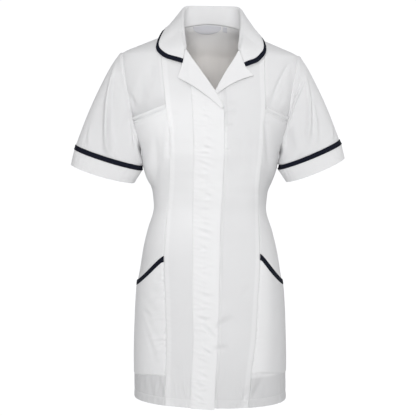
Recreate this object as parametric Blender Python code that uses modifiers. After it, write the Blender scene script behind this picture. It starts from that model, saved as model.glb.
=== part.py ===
"""White medical tunic with navy trim, hollow and filled out as if worn, with no wearer in it.

Metres, +Z up. The front faces -Y and the wearer's right side is at -X. The origin is midway between
the two points where the shoulder seams meet the neck, where the wearer's shoulders hold the tunic.
"""

import bpy
import numpy as np

# Cloth
CLOTH = 0.0012  # one layer of twill, as built
DOUBLE = 0.0018  # front band, collar and cuffs: two layers and an interlining
LAPEL = 0.0014
TRIM = 0.0022  # navy binding
SEAM_GAP = 0.0004  # between two pieces edge to edge
SHOULDER_GAP = 0.0003  # of front and back from the line of their seam
BAND_GAP = 0.0008  # between a piece and the panel that it lies on
YOKE_GAP = 0.0009
POCKET_GAP = 0.0007

# Levels of the body, by height
HEM_Z = -0.7755
FRONT_HEM_DROP = 0.003
UNDERARM_Z = -0.249
COLLAR_SEAM_Z = 0.018  # centre of the back neck
TOP_Z = 0.022
TIP_X, TIP_Z = 0.1865, -0.049  # where the shoulder seam meets the sleeve
LEAN = 0.018  # the wearer's left side hangs this much lower for each metre across
FRONT, BACK = -1, 1
RIGHT, LEFT = -1, 1  # the wearer's

# Trims and pockets
TRIM_WIDTH = 0.0095
MOUTH_LEVEL = 1.405  # chest pocket mouth, between the underarm at 1 and the shoulder at 2
MOUTH_DROP = {RIGHT: 0.075, LEFT: 0.045}  # how much lower it is at the armhole, in levels
CHEST_TUCK = 0.10  # how far the yoke runs down behind the chest pocket, in levels
# Hip pockets: height of the mouth at the princess seam, its fall to the side, height of the foot
HIP_POCKETS = {RIGHT: (-0.4675, 0.0590, -0.7150), LEFT: (-0.4600, 0.0600, -0.7065)}
FOOT_FALL = 0.011
POCKET_GAPE = 0.0012

WHITE, NAVY, LABEL = (0.86, 0.86, 0.87, 1), (0.008, 0.011, 0.028, 1), (0.62, 0.64, 0.72, 1)


class Table:
    """Rows of named columns, read smoothly between rows at a value of the first column."""

    def __init__(self, names, *rows):
        data = np.array(sorted(rows)).T
        self.keys = data[0]
        self.columns = {}
        for name, values in zip(names.split()[1:], data[1:]):
            rises = np.diff(values) / np.diff(self.keys)
            before, after = rises[:-1], rises[1:]
            slopes = np.concatenate([rises[:1], np.zeros(len(values) - 2), rises[-1:]])
            same = before * after > 0
            slopes[1:-1][same] = (2 * before * after)[same] / (before + after)[same]
            self.columns[name] = values, slopes

    def at(self, name, key):
        values, slopes = self.columns[name]
        key = np.clip(key, self.keys[0], self.keys[-1])
        i = np.clip(np.searchsorted(self.keys, key) - 1, 0, len(self.keys) - 2)
        step = self.keys[i + 1] - self.keys[i]
        t = (key - self.keys[i]) / step
        start = (1 + 2 * t) * values[i] + t * step * slopes[i]
        end = (3 - 2 * t) * values[i + 1] + (t - 1) * step * slopes[i + 1]
        return (1 - t) ** 2 * start + t**2 * end


# Cross-sections of the body. Each is a rounded oval: front and back depth are from the side seam.
BODY = Table(
    "z half_width seam_y front_depth back_depth squareness",
    (-0.800, 0.1615, 0.000, 0.122, 0.119, 2.35),
    (-0.700, 0.1615, 0.000, 0.121, 0.119, 2.35),
    (-0.600, 0.1590, 0.000, 0.118, 0.119, 2.35),
    (-0.540, 0.1550, 0.000, 0.115, 0.117, 2.35),
    (-0.500, 0.1485, 0.000, 0.111, 0.112, 2.35),
    (-0.460, 0.1420, 0.000, 0.105, 0.104, 2.35),
    (-0.420, 0.1325, 0.000, 0.098, 0.093, 2.30),
    (-0.370, 0.1190, 0.000, 0.092, 0.084, 2.30),
    (-0.340, 0.1220, 0.000, 0.096, 0.087, 2.30),
    (-0.310, 0.1325, 0.000, 0.106, 0.094, 2.30),
    (-0.285, 0.1410, 0.000, 0.117, 0.099, 2.30),
    (-0.249, 0.1470, 0.000, 0.126, 0.103, 2.30),
    (-0.225, 0.1545, 0.000, 0.126, 0.105, 2.30),
    (-0.200, 0.1635, 0.000, 0.122, 0.107, 2.30),
    (-0.170, 0.1750, 0.000, 0.115, 0.109, 2.25),
    (-0.140, 0.1880, 0.000, 0.106, 0.109, 2.20),
    (-0.110, 0.1970, 0.000, 0.097, 0.107, 2.20),
    (-0.080, 0.1980, 0.001, 0.088, 0.103, 2.20),
    (-0.049, 0.1865, 0.002, 0.080, 0.098, 2.20),
    (-0.0415, 0.1740, 0.002, 0.077, 0.094, 2.20),
    (-0.032, 0.1515, 0.003, 0.072, 0.088, 2.20),
    (-0.0215, 0.1270, 0.005, 0.065, 0.081, 2.20),
    (-0.012, 0.1045, 0.007, 0.058, 0.074, 2.20),
    (0.000, 0.0780, 0.010, 0.048, 0.064, 2.20),
    (0.010, 0.0640, 0.022, 0.040, 0.048, 2.20),
    (0.022, 0.0500, 0.034, 0.034, 0.033, 2.20),
)

# Lines down the front: the closing line, how far the princess seams stand from it on each side, and
# the two edges of the band that hides the zip.
LINES = Table(
    "z centre princess band_left band_right",
    (-0.800, -0.008, 0.086, -0.033, 0.016),
    (-0.728, -0.005, 0.088, -0.034, 0.016),
    (-0.630, 0.002, 0.093, -0.037, 0.014),
    (-0.560, 0.003, 0.096, -0.040, 0.015),
    (-0.468, 0.004, 0.100, -0.041, 0.016),
    (-0.415, 0.005, 0.098, -0.042, 0.016),
    (-0.310, 0.009, 0.093, -0.044, 0.017),
    (-0.250, 0.012, 0.095, -0.046, 0.017),
    (-0.200, 0.013, 0.098, -0.048, 0.016),
    (-0.157, 0.012, 0.103, -0.049, 0.016),
    (-0.100, 0.008, 0.105, -0.049, 0.016),
    (-0.030, 0.004, 0.107, -0.049, 0.016),
    (0.000, 0.000, 0.107, -0.049, 0.016),
)

# The neckline on each front, from where it folds back past the closing line up to the shoulder.
NECK = Table(
    "reach z",
    (-0.0160, -0.1650),
    (-0.0090, -0.1460),
    (0.0000, -0.1285),
    (0.0270, -0.0850),
    (0.0555, -0.0415),
    (0.0670, -0.0170),
    (0.0780, 0.0000),
    (0.0960, 0.0300),
)
NECK_HALF = 0.078
UNDERLAP = -0.012  # edge of the left front, under the band

# The front of each armhole in front view; the back is the same.
ARMHOLE = Table(
    "z x",
    (-0.249, 0.1470),
    (-0.238, 0.1492),
    (-0.225, 0.1515),
    (-0.200, 0.1595),
    (-0.170, 0.1655),
    (-0.140, 0.1710),
    (-0.110, 0.1770),
    (-0.080, 0.1825),
    (TIP_Z, TIP_X),
)

# Soft folds in the body: a valley where depth is positive, a ridge where it is negative.
FOLDS = (
    # side, x and z of one end, x and z of the other, width, depth
    (FRONT, 0.168, -0.066, 0.128, -0.150, 0.011, 0.0030),
    (FRONT, -0.122, -0.085, -0.146, -0.160, 0.012, 0.0022),
    (FRONT, -0.072, -0.175, -0.086, -0.255, 0.007, 0.0018),
    (FRONT, 0.113, -0.195, 0.124, -0.262, 0.008, 0.0016),
    (FRONT, 0.060, -0.800, 0.070, -0.745, 0.009, 0.0024),
    (FRONT, -0.074, -0.790, -0.070, -0.700, 0.010, 0.0016),
    (BACK, 0.120, -0.110, 0.092, -0.230, 0.012, 0.0026),
    (BACK, -0.120, -0.110, -0.090, -0.235, 0.012, 0.0026),
    (BACK, 0.060, -0.330, -0.015, -0.372, 0.010, 0.0016),
    (BACK, -0.065, -0.325, 0.010, -0.352, 0.010, 0.0014),
    (BACK, 0.072, -0.790, 0.060, -0.560, 0.014, 0.0028),
    (BACK, -0.068, -0.790, -0.058, -0.580, 0.014, 0.0026),
)

# The collar from the centre back to its front corner, on one side. Seam is a place on the neckline:
# 0 at the centre back, 1 at the shoulder, 2 at the lapel. Then the top of the roll, and the outer
# edge by its turn round the body (0 degrees at the front, 180 at the back), height and lift.
COLLAR = Table(
    "row seam roll_x roll_y roll_z turn edge_z lift",
    (0.0, 0.00, 0.0000, 0.0760, 0.0585, 180, -0.0090, 0.0040),
    (1.0, 0.36, 0.0290, 0.0755, 0.0585, 160, -0.0100, 0.0040),
    (2.0, 0.62, 0.0530, 0.0650, 0.0570, 138, -0.0120, 0.0050),
    (3.0, 0.87, 0.0620, 0.0400, 0.0480, 118, -0.0105, 0.0075),
    (4.0, 1.00, 0.0625, 0.0080, 0.0320, 88, -0.0065, 0.0105),
    (4.5, 1.15, 0.0620, -0.0065, 0.0215, 56, -0.0200, 0.0065),
    (5.0, 1.30, 0.0610, -0.0210, 0.0110, 41, -0.0370, 0.0050),
    (6.0, 1.60, 0.0590, -0.0440, -0.0110, 32.5, -0.0490, 0.0045),
    (7.0, 1.78, 0.0575, -0.0565, -0.0235, 27.2, -0.0577, 0.0045),
    (8.0, 1.90, 0.0560, -0.0630, -0.0320, 21.5, -0.0630, 0.0045),
)
# The left half of the collar is turned round the body and hangs a little lower than the right one.
COLLAR_TWIST = Table(
    "row turn down lift",
    (0.0, 0, 0.0000, 0.0000),
    (3.0, 1, 0.0020, -0.0020),
    (4.0, -1, 0.0045, -0.0055),
    (4.5, 1, 0.0040, -0.0010),
    (5.0, 0, 0.0023, 0.0000),
    (6.0, 1, 0.0030, 0.0000),
    (7.0, 1, 0.0060, 0.0000),
    (8.0, 1, 0.0070, 0.0000),
)
COLLAR_STEPS = (0, 0.25, 0.5, 0.75, 1, 1.35, 1.7, 2, 2.35, 2.7, 3, 3.33, 3.66, 4, 4.33, 4.66, 5, 5.33, 5.66)
COLLAR_STEPS += (6, 6.33, 6.66, 7, 7.5, 8)
COLLAR_X = 0.0045
# Reach and z of the outer end of the seam between collar and lapel, and of the lapel's point
NOTCH = {RIGHT: (0.0622, -0.0690), LEFT: (0.0650, -0.0745)}
LAPEL_POINT = {RIGHT: (0.0740, -0.0995), LEFT: (0.0810, -0.0925)}
GORGE_REACH = 0.0555  # inner end of that seam
BREAK = {RIGHT: -0.0160, LEFT: -0.0030}  # reach at which each lapel ends on the front's edge
LAPEL_RISE = 0.0030
COLLAR_LAPEL_GAP = 0.0020
ROLL_RADIUS = 0.0032
SEAM_CLEAR, BACK_SEAM_CLEAR = 0.0015, 0.0019
TRIM_GAP = 0.0009

# The end of each sleeve and its cuff, in front view: the loop's middle, its half width, the tilt of
# its long axis, its half depth, and how far its front dips. Rows: trim top, trim foot, cuff hem.
SLEEVES = {
    RIGHT: (
        (0.2138, -0.2630, 0.0722, 16.5, 0.046, 0.003),
        (0.2152, -0.2727, 0.0735, 16.4, 0.047, 0.004),
        (0.2274, -0.3020, 0.0682, 15.0, 0.046, 0.0055),
    ),
    LEFT: (
        (0.2102, -0.2494, 0.0680, 24.0, 0.046, 0.003),
        (0.2110, -0.2588, 0.0715, 23.0, 0.047, 0.004),
        (0.2229, -0.2860, 0.0655, 23.0, 0.046, 0.0055),
    ),
}
SLEEVE_Y = -0.004
SHOULDER_SLOPE = {RIGHT: 30, LEFT: 34}  # degrees below level at the top of each sleeve
# Folds along the sleeves, as angles round them from the outer edge (the front is at 90 degrees).
SLEEVE_FOLDS = {
    # start angle, end angle, start share, end share, width in degrees, depth
    RIGHT: (
        (30, 92, 0.18, 1.05, 13, 0.0040),
        (64, 92, 0.42, 0.95, 8, 0.0016),
        (285, 262, 0.15, 1.00, 14, 0.0040),
    ),
    LEFT: (
        (32, 100, 0.26, 1.05, 12, 0.0034),
        (112, 104, 0.45, 1.00, 10, 0.0026),
        (290, 270, 0.15, 0.95, 14, 0.0040),
    ),
}


# Body surface


def fullness(x, y, z):
    """Under 1 inside the body's form, 1 on its surface."""
    across = np.abs(x) / BODY.at("half_width", z)
    along = y - BODY.at("seam_y", z)
    depth = np.where(along < 0, BODY.at("front_depth", z), BODY.at("back_depth", z))
    power = BODY.at("squareness", z)
    return across**power + (np.abs(along) / depth) ** power


def outward(point):
    """Unit direction out of the body's form, and the distance from its surface, at each point."""
    step = 1e-4
    slopes = []
    for axis in range(3):
        shift = np.zeros(3)
        shift[axis] = step
        ahead, behind = point + shift, point - shift
        rise = fullness(*np.moveaxis(ahead, -1, 0)) - fullness(*np.moveaxis(behind, -1, 0))
        slopes.append(rise / (2 * step))
    slope = np.stack(slopes, -1)
    steepness = np.linalg.norm(slope, axis=-1, keepdims=True)
    distance = (fullness(*np.moveaxis(point, -1, 0))[..., None] - 1) / steepness
    return slope / steepness, distance[..., 0]


def fold_depth(x, z, side):
    total = np.zeros(np.broadcast(x, z).shape)
    for fold_side, x0, z0, x1, z1, width, depth in FOLDS:
        if fold_side == side:
            span = (x1 - x0) ** 2 + (z1 - z0) ** 2
            along = ((x - x0) * (x1 - x0) + (z - z0) * (z1 - z0)) / span
            t = np.clip(along, 0, 1)
            away = np.hypot(x - x0 - t * (x1 - x0), z - z0 - t * (z1 - z0))
            total = total + depth * np.exp(-((away / width) ** 2))
    return total


def skin(x, z, side, lift=0.0):
    """Points of the garment's outer surface at x and z, moved out by lift."""
    half = BODY.at("half_width", z)
    x = np.clip(x, -half, half)
    depth = BODY.at("front_depth" if side == FRONT else "back_depth", z)
    power = BODY.at("squareness", z)
    out = depth * (1 - np.abs(x / half) ** power) ** (1 / power)
    y = BODY.at("seam_y", z) + side * np.maximum(out, SHOULDER_GAP)
    point = np.stack(np.broadcast_arrays(x, y, z), -1)
    direction, _ = outward(point)
    return point + direction * (lift - fold_depth(x, z, side))[..., None]


def centre(z):
    return LINES.at("centre", z)


def princess(hand, z):
    return centre(z) + hand * LINES.at("princess", z)


def body_edge(hand, z):
    """The side seam below the underarm, and the armhole above it."""
    armhole = np.where(z > TIP_Z, TIP_X, ARMHOLE.at("x", z))
    return hand * np.where(z < UNDERARM_Z, BODY.at("half_width", z), armhole)


def back_neck(x):
    share = np.abs(x) / NECK_HALF
    return np.where(share < 1, COLLAR_SEAM_Z * (1 - share**2), TOP_Z)


def neckline(x, z, side, hand):
    return back_neck(x) if side == BACK else NECK.at("z", hand * (x - centre(z)))


def highest(across, side, hand):
    """The height at which each column meets the shoulder seam or the neckline."""
    low = np.full(np.shape(across(UNDERARM_Z)), UNDERARM_Z)
    high = np.full(low.shape, TOP_Z)
    for _ in range(40):
        z = (low + high) / 2
        x = across(z)
        inside = (np.abs(x) <= BODY.at("half_width", z)) & (z <= neckline(x, z, side, hand))
        low, high = np.where(inside, z, low), np.where(inside, high, z)
    return low


def hem(x, side):
    drop = FRONT_HEM_DROP * np.clip(1 - (x / 0.16) ** 2, 0, 1)
    return HEM_Z - drop if side == FRONT else np.full(np.shape(x), HEM_Z)


def panel(left, right, shares, levels, side, hand=RIGHT, lift=lambda x, z: 0.0 * x, low=None):
    """Grid of points between two lines down the body. Level 0 is the hem, 1 the underarm, 2 the top."""
    shares = np.asarray(shares)
    levels = np.asarray(levels)
    if levels.ndim == 1:
        levels = levels[:, None]

    def across(z):
        return left(z) + (right(z) - left(z)) * shares

    top = highest(across, side, hand)
    foot = hem(across(HEM_Z), side) if low is None else np.full(shares.shape, low)
    below = foot + (UNDERARM_Z - foot) * levels
    above = UNDERARM_Z + (top - UNDERARM_Z) * (levels - 1)
    z = np.where(levels < 1, below, above)
    x = across(z)
    return skin(x, z, side, lift(x, z))


# Levels of the rows: hem to underarm, underarm to chest pocket mouth, mouth to shoulder.
LOWER = np.linspace(0, 1, 13)
MIDDLE = np.linspace(1, MOUTH_LEVEL, 6)
UPPER = MOUTH_LEVEL + (2 - MOUTH_LEVEL) * (1 - (1 - np.linspace(0, 1, 10)) ** 1.5)
ARMHOLE_LEVELS = np.concatenate([MIDDLE, UPPER[1:]])
ALL_LEVELS = np.concatenate([LOWER[:-1], ARMHOLE_LEVELS])
SIDE_SHARES = np.sin(np.linspace(0, np.pi / 2, 10))


def tilted(levels, shares, hand):
    """Levels moved so that the row at the chest pocket's mouth falls towards the armhole."""
    levels = np.asarray(levels)[:, None]
    below = (levels - 1) / (MOUTH_LEVEL - 1)
    above = (2 - levels) / (2 - MOUTH_LEVEL)
    weight = np.clip(np.minimum(below, above), 0, None)
    return levels - MOUTH_DROP[hand] * weight * np.asarray(shares)


# Making objects


def add_object(name, points, faces, thickness, offset, material):
    mesh = bpy.data.meshes.new(name)
    mesh.from_pydata([tuple(p) for p in points], [], faces)
    mesh.materials.append(material)
    mesh.shade_smooth()
    made = bpy.data.objects.new(name, mesh)
    bpy.data.collections["tunic"].objects.link(made)
    wall = made.modifiers.new("wall", "SOLIDIFY")
    wall.thickness = thickness
    wall.offset = offset
    return made


def sheet(name, grid, thickness, material, offset=-1, ring=False, flip=False):
    """A cloth piece through a grid of points. Offset -1 keeps the points on its outer face."""
    grid = np.array(grid)
    grid[..., 2] -= LEAN * grid[..., 0]
    rows, columns = grid.shape[:2]
    faces = []
    for i in range(rows - 1):
        for j in range(columns if ring else columns - 1):
            k = (j + 1) % columns
            face = (i * columns + j, i * columns + k, (i + 1) * columns + k, (i + 1) * columns + j)
            faces.append(face[::-1] if flip else face)
    return add_object(name, grid.reshape(-1, 3), faces, thickness, offset, material)


def colour(name, rgba, roughness):
    material = bpy.data.materials.new(name)
    material.use_nodes = True
    shader = material.node_tree.nodes["Principled BSDF"]
    shader.inputs["Base Color"].default_value = rgba
    shader.inputs["Roughness"].default_value = roughness
    shader.inputs["Metallic"].default_value = 0.0
    return material


# Fronts, side panels and back


def band_rise(x, z):
    """How far the band stands off the left front: more where it passes over the left lapel."""
    across = np.clip((x - centre(z) + 0.030) / 0.030, 0, 1)
    down = np.clip((z + 0.205) / 0.055, 0, 1)
    return BAND_GAP + 0.0032 * (across * down) ** 2 * (3 - 2 * across) * (3 - 2 * down)


def make_fronts(white):
    def band_seam(z):
        return centre(z) + LINES.at("band_left", z)

    right = panel(
        lambda z: princess(RIGHT, z) + SEAM_GAP / 2,
        lambda z: band_seam(z) + 0.006,
        (0, 0.15, 0.30, 0.42, 0.56, 0.70, 0.84, 1),
        ALL_LEVELS,
        FRONT,
        RIGHT,
    )
    sheet("front_right", right, CLOTH, white)
    left = panel(
        lambda z: centre(z) + UNDERLAP,
        lambda z: princess(LEFT, z) - SEAM_GAP / 2,
        (0, 0.11, 0.24, 0.36, 0.48, 0.58, 0.67, 0.75, 0.88, 1),
        ALL_LEVELS,
        FRONT,
        LEFT,
    )
    sheet("front_left", left, CLOTH, white)
    band = panel(
        band_seam,
        lambda z: centre(z) + LINES.at("band_right", z),
        (0, 0.16, 0.38, 0.60, 0.80, 1),
        np.concatenate([LOWER, 1 + np.linspace(0, 1, 11)[1:]]),
        FRONT,
        RIGHT,
        lambda x, z: band_rise(x, z) + DOUBLE,
        HEM_Z - FRONT_HEM_DROP - 0.003,
    )
    sheet("front_band", band, DOUBLE, white)


def side_panel(hand, levels, lift=lambda x, z: 0.0 * x):
    return panel(
        lambda z: princess(hand, z) + hand * SEAM_GAP / 2,
        lambda z: body_edge(hand, z),
        SIDE_SHARES,
        tilted(levels, SIDE_SHARES, hand),
        FRONT,
        hand,
        lift,
    )


def make_sides(hand, name, white):
    """The side front stops at the chest pocket's mouth; the yoke above it runs down behind it."""
    lower = np.concatenate([LOWER, MIDDLE[1:]])
    sheet(f"side_front_{name}", side_panel(hand, lower), CLOTH, white, flip=hand == RIGHT)
    tuck = MOUTH_LEVEL + np.array([-CHEST_TUCK, -CHEST_TUCK / 2, 0.0, 0.02])
    levels = np.concatenate([tuck, UPPER[1:]])
    grid = side_panel(hand, levels)
    inner = side_panel(hand, levels, lambda x, z: 0.0 * x - CLOTH - YOKE_GAP)
    behind = np.clip((MOUTH_LEVEL + 0.05 - levels) / 0.03, 0, 1)[:, None, None]
    sheet(f"yoke_front_{name}", grid + (inner - grid) * behind, CLOTH, white, flip=hand == RIGHT)


def make_back(white):
    half_turns = np.array([3.5, 10.5, 16.5, 21, 24.7, 29, 36, 45, 55, 66, 78, 90])
    shares = np.sin(np.radians([*-half_turns[::-1], *half_turns]))

    def half(z):
        return body_edge(LEFT, z)

    grid = panel(lambda z: 0.0 * z, half, shares, ALL_LEVELS, BACK)
    sheet("back", grid, CLOTH, white, flip=True)


def make_hip_pocket(hand, name, white, navy):
    """A pocket laid on the side front, with its slanting mouth bound in navy and gaping at the side."""
    shares = SIDE_SHARES * 0.997
    mouth_z, fall, foot_z = HIP_POCKETS[hand]
    mouth = mouth_z - fall * shares**1.3

    def rows(low, high, count):
        z = low + (high - low) * np.linspace(0, 1, count)[:, None]
        x = princess(hand, z) + hand * SEAM_GAP
        x = x + (body_edge(hand, z) - x) * shares
        near_mouth = np.clip(1 - (mouth - z) / 0.07, 0, 1)
        lift = POCKET_GAPE * near_mouth**2 * np.clip(shares, 0, 1) ** 3
        return skin(x, z, FRONT, lift + POCKET_GAP)

    trim_foot = mouth - TRIM_WIDTH * 1.2
    flip = hand == RIGHT
    bag = rows(foot_z - FOOT_FALL * shares**2, trim_foot - SEAM_GAP, 9)
    sheet(f"hip_pocket_{name}", bag, CLOTH, white, offset=1, flip=flip)
    binding = rows(trim_foot, mouth, 3)
    sheet(f"hip_trim_{name}", binding, TRIM, navy, offset=1, flip=flip)


# Sleeves


def loop(row, angles):
    """An oval loop of a sleeve, by angle from its outer edge round the front."""
    x, z, half_width, tilt, half_depth, dip = row
    tilt = np.radians(tilt)
    across = half_width * np.cos(angles)
    front = np.sin(angles)
    return np.stack(
        [
            x + across * np.cos(tilt),
            SLEEVE_Y - half_depth * front,
            z + across * np.sin(tilt) - dip * front,
        ],
        -1,
    )


def armhole_loop(hand):
    """The armhole edge of the body, from the shoulder tip down the front and up the back."""
    z = UNDERARM_Z + (TIP_Z - UNDERARM_Z) * (ARMHOLE_LEVELS - 1)
    front_z = UNDERARM_Z + (TIP_Z - UNDERARM_Z) * (tilted(ARMHOLE_LEVELS, [1], hand)[:, 0] - 1)
    front = skin(ARMHOLE.at("x", front_z), front_z, FRONT)[::-1]
    back = skin(ARMHOLE.at("x", z), z, BACK)
    lengths = np.linalg.norm(np.diff(front, axis=0), axis=1)
    half_turn = np.pi * np.concatenate([[0], np.cumsum(lengths)]) / lengths.sum()
    angles = np.concatenate([half_turn, 2 * np.pi - half_turn[::-1][1:-1]])
    share_up = np.concatenate([(ARMHOLE_LEVELS - 1)[::-1], (ARMHOLE_LEVELS - 1)[1:-1]])
    return np.concatenate([front, back[1:-1]]), angles, share_up


def sleeve_grid(hand, shares):
    """Rings from the armhole, at share 0, to the top of the trim, at share 1."""
    start, angles, share_up = armhole_loop(hand)
    end = loop(SLEEVES[hand][0], angles)
    # Below the horizontal, the way the cloth leaves the armhole: along the shoulder at the top of
    # the armhole, straight down at the underarm.
    slope = np.radians(74 - (74 - SHOULDER_SLOPE[hand]) * share_up**0.8)
    leave = np.stack([np.cos(slope), 0 * slope, -np.sin(slope)], -1)
    first, last = SLEEVES[hand][0], SLEEVES[hand][2]
    arm = np.array([last[0] - first[0], 0, last[1] - first[1]])
    arm = arm / np.linalg.norm(arm)
    reach = np.linalg.norm(end - start, axis=1, keepdims=True)
    start = start + leave * SEAM_GAP + np.array([0.0024, 0, 0]) * (1 - share_up[:, None]) ** 2
    pull = 0.35 * reach + 0.30 * reach * (1 - share_up[:, None])
    t = np.asarray(shares)[:, None, None]
    grid = (
        (1 + 2 * t) * (1 - t) ** 2 * start
        + t * (1 - t) ** 2 * leave * pull
        + t**2 * (3 - 2 * t) * end
        + t**2 * (t - 1) * arm * reach
    )
    around = np.roll(grid, -1, axis=1) - np.roll(grid, 1, axis=1)
    normal = np.cross(around, np.gradient(grid, axis=0))
    normal = normal / np.linalg.norm(normal, axis=-1, keepdims=True)
    depth = np.zeros(grid.shape[:2])
    degrees = np.degrees(angles)[None, :]
    for a0, a1, s0, s1, width, fold in SLEEVE_FOLDS[hand]:
        along = (t[..., 0] - s0) / (s1 - s0)
        ends = np.clip(along * 5, 0, 1) * np.clip((1.15 - along) * 4, 0, 1)
        away = (degrees - (a0 + (a1 - a0) * along)) / width
        ends = ends * np.clip(t[..., 0] * 6, 0, 1) * np.clip((1 - t[..., 0]) * 7, 0, 1)
        depth = depth + fold * ends * np.exp(-(away**2))
    return grid + normal * depth[..., None], angles


def mirrored(grid, hand):
    return grid * np.array([hand, 1, 1])


def make_sleeve(hand, name, white, navy):
    trim_top, trim_foot, cuff_hem = SLEEVES[hand]
    grid, angles = sleeve_grid(hand, np.linspace(0, 1, 10))
    sheet(f"sleeve_{name}", mirrored(grid, hand), CLOTH, white, ring=True, flip=hand == LEFT)

    def band(top, foot, start, end, count, swell):
        t = np.linspace(start, end, count)[:, None, None]
        rows = loop(top, angles) * (1 - t) + loop(foot, angles) * t
        middle = rows.mean(axis=1, keepdims=True)
        away = rows - middle
        away = away / np.linalg.norm(away, axis=-1, keepdims=True)
        return mirrored(rows + away * swell, hand)

    trim = band(trim_top, trim_foot, TRIM_GAP / 0.0098, 1, 2, 0.0005)
    sheet(f"sleeve_trim_{name}", trim, TRIM, navy, ring=True, flip=hand == LEFT)
    cuff = band(trim_foot, cuff_hem, SEAM_GAP / 0.032, 1, 4, 0.0)
    sheet(f"cuff_{name}", cuff, DOUBLE, white, ring=True, flip=hand == LEFT)


# Lapels and collar

# The lip that turns round the front edge, as distance in from the edge and height off the cloth.
LIP = (
    (-0.0012, -0.0010),
    (-0.0015, -0.0004),
    (-0.0017, 0.0002),
    (-0.0018, 0.0009),
    (-0.0013, 0.0016),
    (-0.0004, 0.0020),
    (0.0010, 0.0021),
)
FALL_SHARES = (0.12, 0.30, 0.52, 0.76, 1.0)


def front_cover(hand, x, z):
    """Height of the top of what already lies on the front panel: the band, on the right front."""
    if hand == LEFT:
        return 0.0 * x
    on_band = np.clip((x - centre(z) - LINES.at("band_left", z) + 0.012) / 0.010, 0, 1)
    return (band_rise(x, z) + DOUBLE) * on_band


def lapel_section(hand, reach, outer, rise):
    """Points from the inside of the fold, round it and out to the lapel's edge."""
    fold = np.array([reach, float(NECK.at("z", reach))])
    inward = neck_normal(reach)
    lip = np.array([fold - inward * w for w, _ in LIP])
    rest = np.array(outer) - lip[-1]
    fall = [lip[-1] + rest * share for share in FALL_SHARES]
    rise = rise * min(1.0, np.hypot(*rest) / 0.03)
    lifts = np.array([h for _, h in LIP] + [LIP[-1][1] + rise * share**1.5 for share in FALL_SHARES])
    x, z = on_front(hand, *np.concatenate([lip, fall]).T)
    return skin(x, z, FRONT, lifts + front_cover(hand, x, z))


def neck_normal(reach):
    """Unit direction, as reach and z, from the edge of the front towards the opening of the neck."""
    slope = float(NECK.at("z", reach + 0.002) - NECK.at("z", reach - 0.002)) / 0.004
    return np.array([-slope, 1.0]) / np.hypot(slope, 1)


def on_front(hand, reach, z):
    return centre(z) + hand * reach, z


def lapel_grid(hand, shares):
    """Sections from the seam with the collar down to where the front edge starts to fold back."""
    break_reach = BREAK[hand]
    notch, point = np.array(NOTCH[hand]), np.array(LAPEL_POINT[hand])
    foot = np.array([break_reach, float(NECK.at("z", break_reach)) - 0.002])
    corner = 0.30  # share of the fold at which the outer edge turns at the lapel's point
    sections = []
    for share in shares:
        reach = GORGE_REACH + (break_reach - GORGE_REACH) * share
        if share < corner:
            edge = notch + (point - notch) * share / corner
        else:
            t = (share - corner) / (1 - corner)
            edge = point + (foot - point) * t + np.array([0.0, 0.006]) * np.sin(np.pi * t)
        sections.append(lapel_section(hand, reach, edge, LAPEL_RISE))
    return np.array(sections)


def neckline_edge(hand, seam):
    """A point of the neckline, the way up out of it within the cloth, and the way out of the body."""

    def place(at):
        if at <= 1:
            x = hand * NECK_HALF * at
            return skin(np.float64(x), back_neck(x * 0.9999), BACK)
        reach = NECK_HALF + (GORGE_REACH + COLLAR_LAPEL_GAP - NECK_HALF) * (at - 1)
        x, z = on_front(hand, reach, float(NECK.at("z", reach)))
        return skin(np.float64(x), np.float64(z), FRONT)

    near = 0.03
    tangent = place(min(seam + near, 2)) - place(max(seam - near, -1))
    point = place(seam)
    normal = outward(point)[0]
    up = np.cross(normal, tangent)
    up = up / np.linalg.norm(up) * np.sign(up[2])
    return point, up, normal


def clear_of_body(points, margins):
    """Moves out what is nearer to the body's form than its margin."""
    for _ in range(3):
        direction, distance = outward(points)
        below_neck = np.clip((0.020 - points[..., 2]) / 0.010, 0, 1)
        short = np.clip(margins - distance, 0, None) * below_neck
        points = points + direction * short[..., None]
    return points


def wrapped(hand, turn, z, lift):
    """A point at an angle round the body from the front, at height z, off its surface by lift."""
    turn = np.radians(turn)
    power = 2 / BODY.at("squareness", z)
    x = hand * BODY.at("half_width", z) * np.sin(turn) ** power
    depth = BODY.at("front_depth" if np.cos(turn) > 0 else "back_depth", z)
    y = BODY.at("seam_y", z) - np.sign(np.cos(turn)) * depth * np.abs(np.cos(turn)) ** power
    point = np.array([x, y, z])
    return point + outward(point)[0] * lift


def collar_section(hand, row):
    """Points from the neck seam up the stand, over the roll and down the fall to the outer edge."""
    seam, x, y, z, turn, edge_z, lift = [float(COLLAR.at(name, row)) for name in COLLAR.columns]
    if hand == LEFT:
        turn += float(COLLAR_TWIST.at("turn", row))
        edge_z -= float(COLLAR_TWIST.at("down", row))
        lift += float(COLLAR_TWIST.at("lift", row))
    roll = np.array([COLLAR_X + hand * x, y, z])
    edge = wrapped(hand, turn, edge_z, lift)
    foot, up, normal = neckline_edge(hand, seam)
    clear = SEAM_CLEAR if seam > 1 else BACK_SEAM_CLEAR
    foot = foot + up * clear - normal * CLOTH / 2
    out = edge - roll
    out = np.array([out[0], out[1], 0]) / np.hypot(out[0], out[1])
    rise = np.array([0, 0, 1.0])
    heart = roll - rise * ROLL_RADIUS
    back_of_roll = heart - out * ROLL_RADIUS
    stand = [foot, foot + (back_of_roll - foot) * 0.4, foot + (back_of_roll - foot) * 0.75]
    turns = np.radians((180, 130, 80, 30))
    over = [heart + ROLL_RADIUS * (out * np.cos(a) + rise * np.sin(a)) for a in turns]
    start = over[-1]
    bulge = np.array([out[0], out[1], 0.9]) * 0.16 * np.linalg.norm(edge - start)
    fall = [start + (edge - start) * t + bulge * t * (1 - t) for t in FALL_SHARES]
    points = np.array([*stand, *over, *fall])
    margins = np.array([-1] * 5 + [0.0004, 0.0024] + [lift] * len(fall))
    return clear_of_body(points, margins)


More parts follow.
